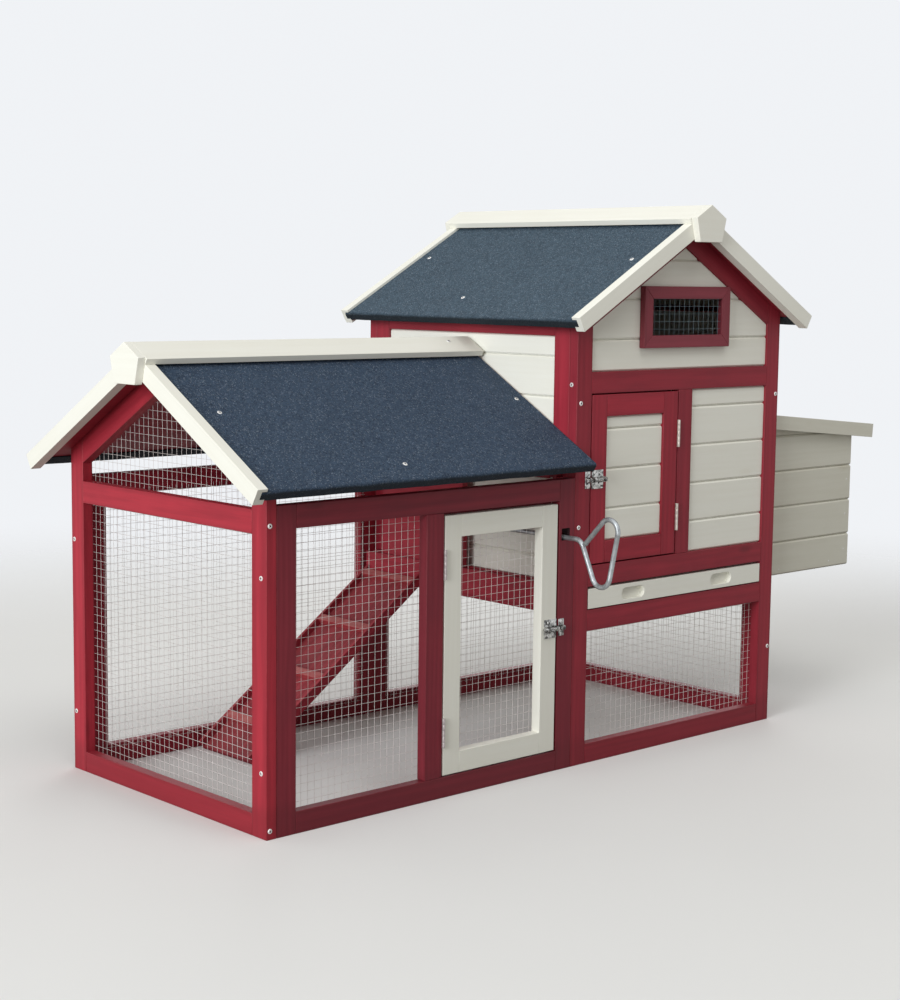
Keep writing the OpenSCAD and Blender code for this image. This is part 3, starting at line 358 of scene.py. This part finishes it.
# A lighter, greyer copy of the felt for the house roof: painted light
house_felt_lit = mineral_felt("house_mineral_felt", (0.0275, 0.0445, 0.066), (0.121, 0.188, 0.252))
rod_zinc = galvanised("zinc_rod", (0.4, 0.425, 0.44), metal=0.7, gloss=0.34, tarnish=0.25, grain=160)
latch_zinc = galvanised("zinc_latch", (0.6, 0.6, 0.58), metal=0.85, gloss=0.2, tarnish=0.9, grain=230)
hinge_zinc = galvanised("zinc_hinge", (0.62, 0.56, 0.5), metal=0.4, gloss=0.42, tarnish=0.2, grain=260)
dull_zinc = galvanised("dull_zinc_hinge", (0.5, 0.45, 0.44), metal=0.4, gloss=0.45, tarnish=0.25, grain=260)
wire_zinc = galvanised("zinc_wire", (0.74, 0.69, 0.67), metal=0.3, gloss=0.42, tarnish=0.2, grain=260)
# A darker copy of the wire for the vent, which lies in shade: painted shade
vent_wire_shaded = galvanised("wire_with_painted_shade", (0.2, 0.285, 0.33), metal=0.2, gloss=0.5, tarnish=0.2, grain=260)
screw_zinc = galvanised("zinc_screw", (0.86, 0.85, 0.83), metal=0.3, gloss=0.3, tarnish=0.15, grain=700)
finish = {"red_paint": red_paint, "white_paint": white_paint, "bare_wood": pine}
# Finishes of single nodes; the lighter and darker copies of the red paint, the cream paint and the house felt
# carry painted light and shade
own_finish = {"run_end_frame": end_paint_lit, "run_front_frame": front_paint_deep_shade, "house_front_frame": front_paint_shaded,
              "vent_frame": vent_paint, "ramp_deck": ramp_paint, "ramp_cleats": cleat_paint,
              "nest_sides": nest_paint_shaded, "nest_lid": nest_paint_shaded}


# Pieces from the frame's solids

# How far edges are eased, in metres, and the angles between faces that count
WHITE_EDGE, RED_EDGE, METAL_EDGE = 0.0005, 0.0009, 0.00025
BOARD_ANGLE, METAL_ANGLE, SMOOTH_ANGLE = (math.radians(a) for a in (25, 40, 35))
FLAT_ANGLE = math.radians(0.5)
SAME_POINT = 1e-6
# Parts of a face's normal along an axis, by which faces are chosen
ASIDE, TILT = 0.7, 0.5
# The hole for the pull rod: half its width in metres, and its heights in millimetres
ROD_HOLE_HALF = 0.01
ROD_HOLE_LOW, ROD_HOLE_TOP = 379, 402


def add_piece(name, mesh, body, slot, *replaced):
    """A new object that rides on a body and may stand for nodes. The slot is not used."""
    piece = bpy.data.objects.new(name, mesh)
    bpy.context.scene.collection.objects.link(piece)
    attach(piece, body)
    if replaced:
        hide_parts(*replaced)


def islands(bm):
    """Groups of joined faces, in the order of their first faces."""
    left = set(bm.faces)
    for first in bm.faces:
        if first not in left:
            continue
        left.remove(first)
        todo = [first]
        group = []
        while todo:
            face = todo.pop()
            group.append(face)
            for edge in face.edges:
                for other in edge.link_faces:
                    if other in left:
                        left.remove(other)
                        todo.append(other)
        yield group


def solid_copy(node):
    """A joined copy of a node's loose triangles, with its flat faces whole."""
    bm = bmesh.new()
    bm.from_mesh(nodes[node].data)
    bmesh.ops.remove_doubles(bm, verts=bm.verts, dist=SAME_POINT)
    bmesh.ops.dissolve_limit(bm, angle_limit=FLAT_ANGLE, verts=bm.verts, edges=bm.edges)
    return bm


def sharp_edges(bm, angle):
    return [e for e in bm.edges if len(e.link_faces) == 2 and e.calc_face_angle() > angle]


def round_over(bm, edges, size, segments=2):
    """Eases edges. The result is their new faces."""
    return bmesh.ops.bevel(bm, geom=edges, offset=size, segments=segments, profile=0.5, affect="EDGES",
                           clamp_overlap=True)["faces"]


def cut_flat(bm, place, axis):
    """New edges where a plane across an axis meets the faces."""
    bmesh.ops.bisect_plane(bm, geom=bm.verts[:] + bm.edges[:] + bm.faces[:], plane_co=place,
                           plane_no=[k == axis for k in range(3)])


def house_inside():
    """Corners of the space between the house's four walls."""
    low = Vector((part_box("divider_frame")[1].x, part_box("house_front_frame")[1].y, 0))
    high = Vector((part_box("house_right_frame")[0].x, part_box("house_back_frame")[0].y, 1))
    return low, high


def within(place, low, high, axes):
    return all(low[k] < place[k] < high[k] for k in axes)


def second_finish(mesh, surface, chosen):
    """Another finish on the chosen faces."""
    mesh.materials.append(surface)
    for face in mesh.polygons:
        if chosen(face):
            face.material_index = 1


def finish_inside(node, mesh):
    """The finishes inside the vent and the house, and painted shade inside the hole for the pull rod."""
    if node == "house_front_boards":
        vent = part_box("vent_frame")
        second_finish(mesh, vent_paint, lambda f: abs(f.normal.x) > ASIDE and within(f.center, *vent, (0, 2)))
    elif node == "house_roof_boards":
        inside = house_inside()
        second_finish(mesh, white_paint, lambda f: f.normal.z < -TILT and within(f.center, *inside, (0, 1)))
    elif node == "house_right_frame":
        door_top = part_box("house_door_frame")[1].z
        second_finish(mesh, white_paint, lambda f: f.normal.x < -ASIDE and f.center.z > door_top)
    elif node == "run_front_frame":
        # Painted shade on the walls of the pull rod's hole
        rod_x = sum(c.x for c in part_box("pull_rod")) / 2
        hole = (Vector((rod_x - ROD_HOLE_HALF, 0, at(0, 0, ROD_HOLE_LOW).z)),
                Vector((rod_x + ROD_HOLE_HALF, 0, at(0, 0, ROD_HOLE_TOP).z)))
        second_finish(mesh, hole_shade, lambda f: abs(f.normal.y) < TILT and within(f.center, *hole, (0, 2)))


def follow_grain(bm, dice):
    """On each board: coordinates along its length, places from -1 to 1 across its sides, and a tint."""
    grain = bm.verts.layers.float_vector.new("grain")
    across = bm.verts.layers.float_vector.new("across")
    tint = bm.verts.layers.float.new("tint")
    for group in islands(bm):
        verts = list(dict.fromkeys(v for f in group for v in f.verts))
        longest = max((e for f in group for e in f.edges), key=lambda e: e.calc_length())
        x = (longest.verts[1].co - longest.verts[0].co).normalized()
        square = [x.cross(axis) for axis in Matrix.Identity(3)]
        y = max(square, key=lambda a: a.length).normalized()
        z = x.cross(y)
        middle = sum((v.co for v in verts), Vector()) / len(verts)
        shift = Vector((dice.uniform(-3, 3), dice.uniform(-0.05, 0.05), dice.uniform(0.01, 0.06)))
        tone = dice.random()
        own = {v: Vector((p.dot(x), p.dot(y), p.dot(z))) for v, p in ((v, v.co - middle) for v in verts)}
        ends = [(min(p[k] for p in own.values()), max(p[k] for p in own.values())) for k in range(3)]
        for v, p in own.items():
            v[grain] = p + shift
            v[across] = [(2 * p[k] - low - high) / (high - low) for k, (low, high) in enumerate(ends)]
            v[tint] = tone


def boards(node, edge_size):
    """A node's boards with eased edges, which are marked, and a figure that follows each board."""
    bm = solid_copy(node)
    if node == "house_roof_boards":
        for place in house_inside():
            cut_flat(bm, place, 0)
            cut_flat(bm, place, 1)
    edge = bm.faces.layers.float.new("edge")
    for face in round_over(bm, sharp_edges(bm, BOARD_ANGLE), edge_size):
        face[edge] = 1
    follow_grain(bm, random.Random(node))
    for face in bm.faces:
        face.smooth = face[edge] > 0.5
    mesh = bpy.data.meshes.new(node + "_boards")
    bm.to_mesh(mesh)
    bm.free()
    mesh.materials.append(own_finish.get(node, finish[slot_of[node]]))
    finish_inside(node, mesh)
    add_piece(node + "_boards", mesh, nodes[node]["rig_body"], slot_of[node], node)


def add_shape(node, bm, surface):
    mesh = bpy.data.meshes.new(node + "_shape")
    bm.to_mesh(mesh)
    bm.free()
    mesh.polygons.foreach_set("use_smooth", [True] * len(mesh.polygons))
    mesh.set_sharp_from_angle(angle=SMOOTH_ANGLE)
    mesh.materials.append(surface)
    add_piece(node + "_shape", mesh, nodes[node]["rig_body"], slot_of[node], node)


# The wrap of the felt: its eaves and their rounding in metres, and the lumps in it
EAVE_LEAST = 0.4
EAVE_ROUND, EAVE_SEGMENTS = 0.0045, 6
EAVE_CUTS = 60
EAVE_REACH = 0.014
EAVE_BULGE = 0.0018
EAVE_DROP = 0.6
FOLD_DEPTH = 0.004
EAVE_TOP, EAVE_FACE = 0.8, (-0.6, -0.4)
BROAD_LUMPS, FINE_LUMPS = 24, 71
LUMP_SIDE, LUMP_HEIGHT = 0.37, 0.21


def felt_sheet(node):
    """Roofing felt, rounded and uneven where it was wrapped by hand over the eaves. What lies below the slope
    is marked for painted shade."""
    bm = solid_copy(node)
    fold_shade = bm.verts.layers.float.new("fold_shade")
    eaves = [e for e in bm.edges if e.calc_length() > EAVE_LEAST
             and any(f.normal.z > EAVE_TOP for f in e.link_faces)
             and any(EAVE_FACE[0] < f.normal.z < EAVE_FACE[1] for f in e.link_faces)]
    round_over(bm, eaves, EAVE_ROUND, EAVE_SEGMENTS)
    low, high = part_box(node)
    along = 0 if node.startswith("run") else 1
    across = 1 - along
    ridge = (low[across] + high[across]) / 2
    for step in range(1, EAVE_CUTS):
        cut_flat(bm, low.lerp(high, step / EAVE_CUTS), along)
    level = {v: v.co.z * SLOPE_COS + abs(v.co[across] - ridge) * SLOPE_SIN for v in bm.verts}
    slope = max(level.values())
    for v in bm.verts:
        v[fold_shade] = min(1, (slope - level[v]) / FOLD_DEPTH)
        off = v.co[across] - ridge
        near = max(0, 1 - (high[across] - ridge - abs(off)) / EAVE_REACH)
        place = Vector((v.co[along], math.copysign(LUMP_SIDE, off), LUMP_HEIGHT))
        lumps = 0.5 + noise.noise(place * BROAD_LUMPS) + 0.35 * noise.noise(place * FINE_LUMPS)
        bulge = max(0, lumps) * near * EAVE_BULGE
        v.co[across] += math.copysign(bulge, off)
        v.co.z -= bulge * EAVE_DROP
    add_shape(node, bm, house_felt_lit if node.startswith("house") else run_felt)


def fitting(node, surface):
    """A metal fitting with slightly eased edges."""
    bm = solid_copy(node)
    round_over(bm, sharp_edges(bm, METAL_ANGLE), METAL_EDGE)
    add_shape(node, bm, surface)


for node, slot in slot_of.items():
    if slot == "felt":
        felt_sheet(node)
    elif slot != "zinc":
        boards(node, WHITE_EDGE if slot == "white_paint" else RED_EDGE)
    elif not node.endswith("_mesh"):
        hinge = dull_zinc if node.startswith("run") else hinge_zinc
        fitting(node, hinge if "hinge" in node else latch_zinc if "latch" in node else rod_zinc)


# Geometry node trees

def geometry_tree(name, inputs):
    """A new tree with named inputs, its graph and its input node."""
    tree = bpy.data.node_groups.new(name, "GeometryNodeTree")
    for label, kind in inputs.items():
        tree.interface.new_socket(label, in_out="INPUT", socket_type=kind)
    tree.interface.new_socket("Geometry", in_out="OUTPUT", socket_type="NodeSocketGeometry")
    graph = Graph(tree)
    return tree, graph, graph.add("NodeGroupInput")


def grown(tree, values, name, seed_mesh=None):
    """The tree's result as a plain mesh."""
    holder = bpy.data.objects.new(name, seed_mesh or bpy.data.meshes.new(name + "_seed"))
    bpy.context.scene.collection.objects.link(holder)
    modifier = holder.modifiers.new(name, "NODES")
    modifier.node_group = tree
    keys = {s.name: s.identifier for s in tree.interface.items_tree if s.in_out == "INPUT"}
    for label, value in values.items():
        modifier[keys[label]] = value
    bpy.context.view_layer.update()
    depsgraph = bpy.context.evaluated_depsgraph_get()
    mesh = bpy.data.meshes.new_from_object(holder.evaluated_get(depsgraph))
    seed = holder.data
    bpy.data.objects.remove(holder)
    bpy.data.meshes.remove(seed)
    mesh.name = name
    return mesh


# Welded mesh

# Pitch, wires and their wave in metres; a wire's depth in radii of the wire
PITCH = 0.0127
WIRE, FINE_WIRE = 0.00029, 0.0002
WAVE, WAVE_SCALE = 0.0022, 9.0
WIRE_POINTS, WIRE_SIDES = 14, 6
UPRIGHT_DEPTH, ACROSS_DEPTH = 1.0, 2.7
FIRST_ACROSS = 0.25
LEAST_SLOPE = 0.0001
NO_APEX = 9.0
FIRST_SEED, SEED_STEP, PANEL_SEED, GABLE_SEED = 0.4, 1.7, 11.3, 17.9
# Edges of the two sheets in the run's end, in millimetres
PANEL_TOP, GABLE_LOW = 447, 466
MESH_SIZES = ("Width", "Height", "Pitch", "Wire", "Wave", "Apex", "Slope", "Seed")


def welded_mesh_tree():
    """Wires up and across a panel, cut along a pair of slopes from Apex; they wave a little."""
    tree, g, given = geometry_tree("welded_mesh", {
        **dict.fromkeys(MESH_SIZES, "NodeSocketFloat"), "Material": "NodeSocketMaterial"})
    width, height, pitch, wire, wave, apex, slope, seed = (given[k] for k in MESH_SIZES)

    def wires(count, start, step, size, direction, depth):
        points = g.add("GeometryNodeMeshLine", {"mode": "OFFSET"}, {
            "Count": count, "Start Location": start, "Offset": step})["Mesh"]
        line = g.add("GeometryNodeCurvePrimitiveLine", {}, {"Start": direction[0], "End": direction[1]})[0]
        line = g.add("GeometryNodeResampleCurve", {}, {"Curve": line, "Count": WIRE_POINTS})[0]
        copies = g.add("GeometryNodeInstanceOnPoints", {}, {
            "Points": points, "Instance": line, "Scale": g.point(size, size, size)})[0]
        curves = g.add("GeometryNodeRealizeInstances", {}, {0: copies})[0]
        place = g.add("GeometryNodeInputPosition")[0]
        sway = g.add("ShaderNodeTexNoise", {}, {
            "Vector": g.vector("ADD", place, g.point(seed, seed * depth)),
            "Scale": WAVE_SCALE, "Detail": 2.0})["Color"]
        sway = g.vector("SUBTRACT", sway, (0.5, 0.5, 0.5))
        sway = g.add("ShaderNodeVectorMath", {"operation": "SCALE"}, {0: sway, "Scale": wave})[0]
        sway = g.vector("ADD", g.stretch(sway, 1, 0, 1), g.point(y=wire * depth))
        return g.add("GeometryNodeSetPosition", {}, {"Geometry": curves, "Offset": sway})[0]

    at_point = g.split(g.add("GeometryNodeInputPosition")[0])
    rise = height.math("MINIMUM", apex - abs(at_point[0]) * slope)
    reach = width.math("MINIMUM", (apex - at_point[2]) * 2 / slope.math("MAXIMUM", LEAST_SLOPE))
    columns = (width / pitch).math("FLOOR")
    rows = (height / pitch).math("FLOOR")
    upright = wires(columns + 1, g.point(x=columns * pitch * -0.5), g.point(x=pitch), rise,
                    ((0, 0, 0), (0, 0, 1)), UPRIGHT_DEPTH)
    across = wires(rows + 1, g.point(z=pitch * FIRST_ACROSS), g.point(z=pitch), reach,
                   ((-0.5, 0, 0), (0.5, 0, 0)), ACROSS_DEPTH)
    joined = g.add("GeometryNodeJoinGeometry")
    for part in (upright, across):
        g.feed(joined.node.inputs[0], part)
    ring = g.add("GeometryNodeCurvePrimitiveCircle", {}, {"Resolution": WIRE_SIDES, "Radius": wire})[0]
    tubes = g.add("GeometryNodeCurveToMesh", {}, {
        "Curve": joined[0], "Profile Curve": ring, "Fill Caps": True})[0]
    tubes = g.add("GeometryNodeSetShadeSmooth", {}, {"Geometry": tubes})[0]
    tubes = g.add("GeometryNodeRealizeInstances", {}, {0: tubes})[0]
    done = g.add("GeometryNodeSetMaterial", {}, {"Geometry": tubes, "Material": given["Material"]})[0]
    g.add("NodeGroupOutput", {}, {0: done})
    return tree


welded_mesh = welded_mesh_tree()
coop_middle = at(COOP_LENGTH / 2, COOP_DEPTH / 2, 0)


def mesh_sheet(name, width, height, place, seed, apex=NO_APEX, slope=0.0, wire=WIRE, surface=wire_zinc):
    made = grown(welded_mesh, {"Width": width, "Height": height, "Pitch": PITCH, "Wire": wire, "Wave": WAVE,
                               "Apex": apex, "Slope": slope, "Seed": seed, "Material": surface}, name)
    made.transform(place)
    return made


def facing(node):
    """Placing of a sheet in a thin node: its own x across, y inward from its outer face, z up."""
    low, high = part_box(node)
    centre = (low + high) / 2
    size = high - low
    flat = 0 if size.x < size.y else 1
    inward = 1 if centre[flat] < coop_middle[flat] else -1
    turn = {(1, 1): 0, (1, -1): math.pi, (0, 1): -math.pi / 2, (0, -1): math.pi / 2}[flat, inward]
    outer = low[flat] if inward > 0 else high[flat]
    origin = Vector((outer if flat == 0 else centre.x, outer if flat == 1 else centre.y, low.z))
    return Matrix.Translation(origin) @ Matrix.Rotation(turn, 4, "Z"), size[1 - flat], size.z


def join_meshes(name, meshes):
    """One mesh of several that have the same finish."""
    bm = bmesh.new()
    for mesh in meshes:
        bm.from_mesh(mesh)
    made = bpy.data.meshes.new(name)
    bm.to_mesh(made)
    bm.free()
    for surface in meshes[0].materials:
        made.materials.append(surface)
    for mesh in meshes:
        bpy.data.meshes.remove(mesh)
    return made


def run_end_sheets(name):
    """The run's end has a square panel below its rail and a gable above it."""
    low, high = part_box("run_end_mesh")
    gable_low = at(0, 0, GABLE_LOW).z
    turn = Matrix.Rotation(-math.pi / 2, 4, "Z")

    def sheet(label, bottom, top, seed, **slopes):
        place = Matrix.Translation((low.x, (low.y + high.y) / 2, bottom)) @ turn
        return mesh_sheet(label, high.y - low.y, top - bottom, place, seed, **slopes)

    panel = sheet("end_panel", low.z, at(0, 0, PANEL_TOP).z, PANEL_SEED)
    gable = sheet("end_gable", gable_low, high.z, GABLE_SEED, apex=high.z - gable_low, slope=SLOPE_TAN)
    return join_meshes(name, [panel, gable])


for count, node in enumerate(n for n in slot_of if n.endswith("_mesh")):
    if node != "run_end_mesh":
        place, width, height = facing(node)
        # The vent's wires carry painted shade
        fine = {"wire": FINE_WIRE, "surface": vent_wire_shaded} if node == "vent_mesh" else {}
        sheet = mesh_sheet(node + "_wires", width, height, place, SEED_STEP * count + FIRST_SEED, **fine)
        add_piece(node + "_wires", sheet, nodes[node]["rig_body"], "zinc", node)
add_piece("run_end_mesh_wires", run_end_sheets("run_end_mesh_wires"), "coop_body", "zinc", "run_end_mesh")


# Screws

# A head's shape in metres, and the sizes of the screws as shares of it
HEAD_SIDES = 16
HEAD_TOP = 0.001
HEAD_RINGS = ((0.0038, -0.0008), (0.0038, 0.0003), (0.0032, HEAD_TOP))
RECESS_ARM, RECESS_TIP = 0.0006, 0.0021
PIT_TAPER, PIT_FLOOR = 0.8, -0.0005
FRAME_SCREW, LATCH_SCREW, NEST_SCREW = 1, 0.5, 0.42
FRONT, BACK, LEFT, RIGHT = (0, -1, 0), (0, 1, 0), (-1, 0, 0), (1, 0, 0)
# Faces that screws sit on, in millimetres: before the coop's front, and over the rafters
LATCH_FACE = -1.2
FELT_TOP, CAP_TOP = 12, 27


def screw_head():
    """A low head with a cross recess, whose faces are marked for painted shade."""
    bm = bmesh.new()
    recess_shade = bm.faces.layers.float.new("recess_shade")
    turns = [math.tau * k / HEAD_SIDES for k in range(HEAD_SIDES)]
    rings = [[bm.verts.new((r * math.cos(a), r * math.sin(a), z)) for a in turns] for r, z in HEAD_RINGS]
    arm, tip = RECESS_ARM, RECESS_TIP
    outline = [(arm, arm), (arm, tip), (-arm, tip), (-arm, arm), (-tip, arm), (-tip, -arm),
               (-arm, -arm), (-arm, -tip), (arm, -tip), (arm, -arm), (tip, -arm), (tip, arm)]
    mouth = [bm.verts.new((x, y, HEAD_TOP)) for x, y in outline]
    pit = [bm.verts.new((x * PIT_TAPER, y * PIT_TAPER, PIT_FLOOR)) for x, y in outline]
    for low, high in zip(rings, rings[1:]):
        for k in range(HEAD_SIDES):
            bm.faces.new((low[k - 1], low[k], high[k], high[k - 1]))
    inner = [bm.faces.new((pit[k - 1], pit[k], mouth[k], mouth[k - 1])) for k in range(len(outline))]
    for face in inner + [bm.faces.new(pit)]:
        face[recess_shade] = 1
    loops = [bm.edges.get((loop[k - 1], loop[k])) for loop in (rings[2], mouth) for k in range(len(loop))]
    bmesh.ops.triangle_fill(bm, use_beauty=True, edges=loops)
    bmesh.ops.recalc_face_normals(bm, faces=bm.faces)
    mesh = bpy.data.meshes.new("screw_head")
    bm.to_mesh(mesh)
    bm.free()
    return mesh


def screw_tree():
    """A head on every point, along the point's own direction and turned at random."""
    tree, g, given = geometry_tree("screws", {
        "Points": "NodeSocketGeometry", "Head": "NodeSocketObject", "Seed": "NodeSocketInt",
        "Material": "NodeSocketMaterial"})
    named = "GeometryNodeInputNamedAttribute"
    facing_out = g.add(named, {"data_type": "FLOAT_VECTOR"}, {"Name": "facing"})[0]
    size = g.add(named, {"data_type": "FLOAT"}, {"Name": "size"})[0]
    upright = g.add("FunctionNodeAlignRotationToVector", {"axis": "Z"}, {"Vector": facing_out})[0]
    angle = g.add("FunctionNodeRandomValue", {"data_type": "FLOAT"}, {
        "Max": math.tau, "Seed": given["Seed"]})["Value"]
    spin = g.add("FunctionNodeAxisAngleToRotation", {}, {"Axis": (0, 0, 1), "Angle": angle})[0]
    turned = g.add("FunctionNodeRotateRotation", {"rotation_space": "LOCAL"}, {
        "Rotation": upright, "Rotate By": spin})[0]
    head = g.add("GeometryNodeObjectInfo", {}, {"Object": given["Head"]})["Geometry"]
    placed = g.add("GeometryNodeInstanceOnPoints", {}, {
        "Points": given["Points"], "Instance": head, "Rotation": turned, "Scale": size})[0]
    real = g.add("GeometryNodeRealizeInstances", {}, {0: placed})[0]
    done = g.add("GeometryNodeSetMaterial", {}, {"Geometry": real, "Material": given["Material"]})[0]
    g.add("NodeGroupOutput", {}, {0: done})
    return tree


screw_heads = screw_tree()
head_shape = bpy.data.objects.new("screw_head", screw_head())
bpy.context.scene.collection.objects.link(head_shape)


def screws(name, body, spots):
    """Heads at spots given as a place in millimetres, a direction and a size."""
    places, directions, sizes = zip(*spots)
    seed = bpy.data.meshes.new(name + "_seed")
    seed.from_pydata([at(*place) for place in places], [], [])
    seed.attributes.new("facing", "FLOAT_VECTOR", "POINT").data.foreach_set(
        "vector", [c for direction in directions for c in direction])
    seed.attributes.new("size", "FLOAT", "POINT").data.foreach_set("value", sizes)
    made = grown(screw_heads, {"Head": head_shape, "Seed": len(spots), "Material": screw_zinc}, name, seed)
    add_piece(name, made, body, "zinc")


def roof_pair(along, across, over, on_run):
    """Spots on both slopes of a roof: how far along the ridge, how far to its sides and how far over the
    rafters."""
    pair = []
    for side in (-1, 1):
        off = side * across
        if on_run:
            place, direction, ridge = (along, RUN_RIDGE_Y + off), (0, side * SLOPE_SIN), RUN_RIDGE_Z
        else:
            place, direction, ridge = (HOUSE_RIDGE_X + off, along), (side * SLOPE_SIN, 0), HOUSE_RIDGE_Z
        z = ridge + over / SLOPE_COS - across * SLOPE_TAN
        pair.append(((*place, z), (*direction, SLOPE_COS), FRAME_SCREW))
    return pair


def latch_spots(columns, rows):
    return [((x, LATCH_FACE, z), FRONT, LATCH_SCREW) for x in columns for z in rows]


coop_spots = []
for face_y, facing_out in ((0, FRONT), (COOP_DEPTH, BACK)):
    for x, z in ((6, 13), (6, 453), (633.5, 602), (633.5, 399), (1143, 601), (1143, 138)):
        coop_spots.append(((x, face_y, z), facing_out, FRAME_SCREW))
for y in (12.5, 512):
    for x, facing_out, z in ((0, LEFT, 96), (0, LEFT, 378), (HOUSE_LEFT, LEFT, 632),
                             (COOP_LENGTH, RIGHT, 632), (COOP_LENGTH, RIGHT, 120)):
        coop_spots.append(((x, y, z), facing_out, FRAME_SCREW))
for along, across in ((6, 140), (244, 274), (603, 142)):
    coop_spots += roof_pair(along, across, FELT_TOP, on_run=True)
for along, across in ((514, 126), (291, 247), (8, 130)):
    coop_spots += roof_pair(along, across, FELT_TOP, on_run=False)
coop_spots += roof_pair(567, 13, CAP_TOP, on_run=True)
for face_y, facing_out in ((30, FRONT), (490, BACK)):
    for x, z in ((1413, 426), (1411, 359), (1411, 291), (1365, 271), (1210, 269)):
        coop_spots.append(((x, face_y, z), facing_out, NEST_SCREW))
coop_spots += latch_spots((596,), (229.5, 248.5)) + latch_spots((652,), (466.5, 485.5))
screws("coop_screws", "coop_body", coop_spots)
screws("run_latch_screws", nodes["run_latch_plate"]["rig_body"], latch_spots((565, 577), (228.5, 249.5)))
screws("house_latch_screws", nodes["house_latch_plate"]["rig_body"], latch_spots((669, 681), (465.5, 486.5)))
head_mesh = head_shape.data
bpy.data.objects.remove(head_shape)
bpy.data.meshes.remove(head_mesh)


# Floor, camera and light

# The camera's place is in millimetres from the run's front corner, and the floor is in metres
FLOOR_HALF = 30
FLOOR_FADE = (1.1, 3.2)
FLOOR_SHADED, FLOOR_PALE, FLOOR_PALER = (0.17, 0.165, 0.155), (0.8, 0.8, 0.79), (0.84, 0.84, 0.83)
CAMERA_YAW, CAMERA_PITCH, CAMERA_ROLL = (math.radians(a) for a in (42.57, 6.85, 0.68))
CAMERA_PLACE = (-1530.77, -2045.06, 798.92)
FOCAL_PIXELS, PHOTO_HEIGHT, SENSOR = 1834.56, 1000, 36
SKY_LIGHT, SKY_SEEN = (1.0, 0.985, 0.945), (0.95, 0.97, 1.0)
SKY_STRENGTH, SKY_SEEN_MORE = 0.445, 0.475


def seen_directly(g):
    """1 where the camera, a reflection or a clear surface sees the stage, 0 where it only lights the coop."""
    path = g.add("ShaderNodeLightPath")
    seen = path["Is Camera Ray"].math("MAXIMUM", path["Is Glossy Ray"])
    return seen.math("MAXIMUM", path["Is Transmission Ray"])


def pale_floor():
    """A floor that is pale to the eye, throws little light up and fades out far from the coop."""
    made, g, shader = material("pale_floor")
    place = g.object_place()
    cloud = g.noise(place, 1.5, 3)
    reach = g.add("ShaderNodeVectorMath", {"operation": "LENGTH"}, {0: place})["Value"]
    colour = g.mix(seen_directly(g), FLOOR_SHADED, g.mix(cloud, FLOOR_PALE, FLOOR_PALER))
    finish_surface(g, shader, Base_Color=colour, Roughness=0.9, Alpha=1 - reach.band(*FLOOR_FADE))
    mesh = bpy.data.meshes.new("floor")
    corners = [(x * FLOOR_HALF, y * FLOOR_HALF, 0) for x, y in ((-1, -1), (1, -1), (1, 1), (-1, 1))]
    mesh.from_pydata(corners, [], [(0, 1, 2, 3)])
    mesh.materials.append(made)
    floor = bpy.data.objects.new("floor", mesh)
    bpy.context.scene.collection.objects.link(floor)


def photo_camera():
    """The photograph's camera: yaw from +Y toward +X, pitch down and roll."""
    yaw, pitch, roll = CAMERA_YAW, CAMERA_PITCH, CAMERA_ROLL
    ahead = Vector((math.sin(yaw) * math.cos(pitch), math.cos(yaw) * math.cos(pitch), -math.sin(pitch)))
    right = Vector((math.cos(yaw), -math.sin(yaw), 0))
    up = right.cross(ahead)
    right, up = right * math.cos(roll) + up * math.sin(roll), up * math.cos(roll) - right * math.sin(roll)
    data = bpy.data.cameras.new("photo_camera")
    data.sensor_width = SENSOR
    data.lens = FOCAL_PIXELS * SENSOR / PHOTO_HEIGHT
    camera = bpy.data.objects.new("photo_camera", data)
    bpy.context.scene.collection.objects.link(camera)
    turn = Matrix((right, up, -ahead)).transposed().to_4x4()
    camera.matrix_world = Matrix.Translation(at(*CAMERA_PLACE)) @ turn
    bpy.context.scene.camera = camera


def soft_lamp(name, place, target, size, power, colour=(1, 1, 1)):
    """A round lamp that is turned to a target."""
    data = bpy.data.lights.new(name, "AREA")
    data.shape = "DISK"
    data.size = size
    data.energy = power
    data.color = colour
    lamp = bpy.data.objects.new(name, data)
    lamp.location = place
    lamp.rotation_mode = "QUATERNION"
    lamp.rotation_quaternion = (Vector(target) - Vector(place)).to_track_quat("-Z", "Y")
    bpy.context.scene.collection.objects.link(lamp)


def studio():
    """A pale surround and three soft lamps."""
    world = bpy.data.worlds.new("studio")
    bpy.context.scene.world = world
    world.use_nodes = True
    g = Graph(world.node_tree)
    seen = seen_directly(g)
    finish_surface(g, world.node_tree.nodes["Background"], Color=g.mix(seen, SKY_LIGHT, SKY_SEEN),
                   Strength=seen * SKY_SEEN_MORE + SKY_STRENGTH)
    soft_lamp("key", place=(-10.1, -2.0, 3.1), target=(0, 0, 0.5), size=5.8, power=885,
              colour=(0.96, 0.985, 1.0))
    soft_lamp("top", place=(-0.9, -2.2, 4.4), target=(0, 0, 0.4), size=3.0, power=52)
    soft_lamp("back_fill", place=(4.6, 4.4, 2.0), target=(0, 0, 0.5), size=4.0, power=105)


pale_floor()
photo_camera()
studio()
bpy.context.scene.view_settings.view_transform = "Standard"
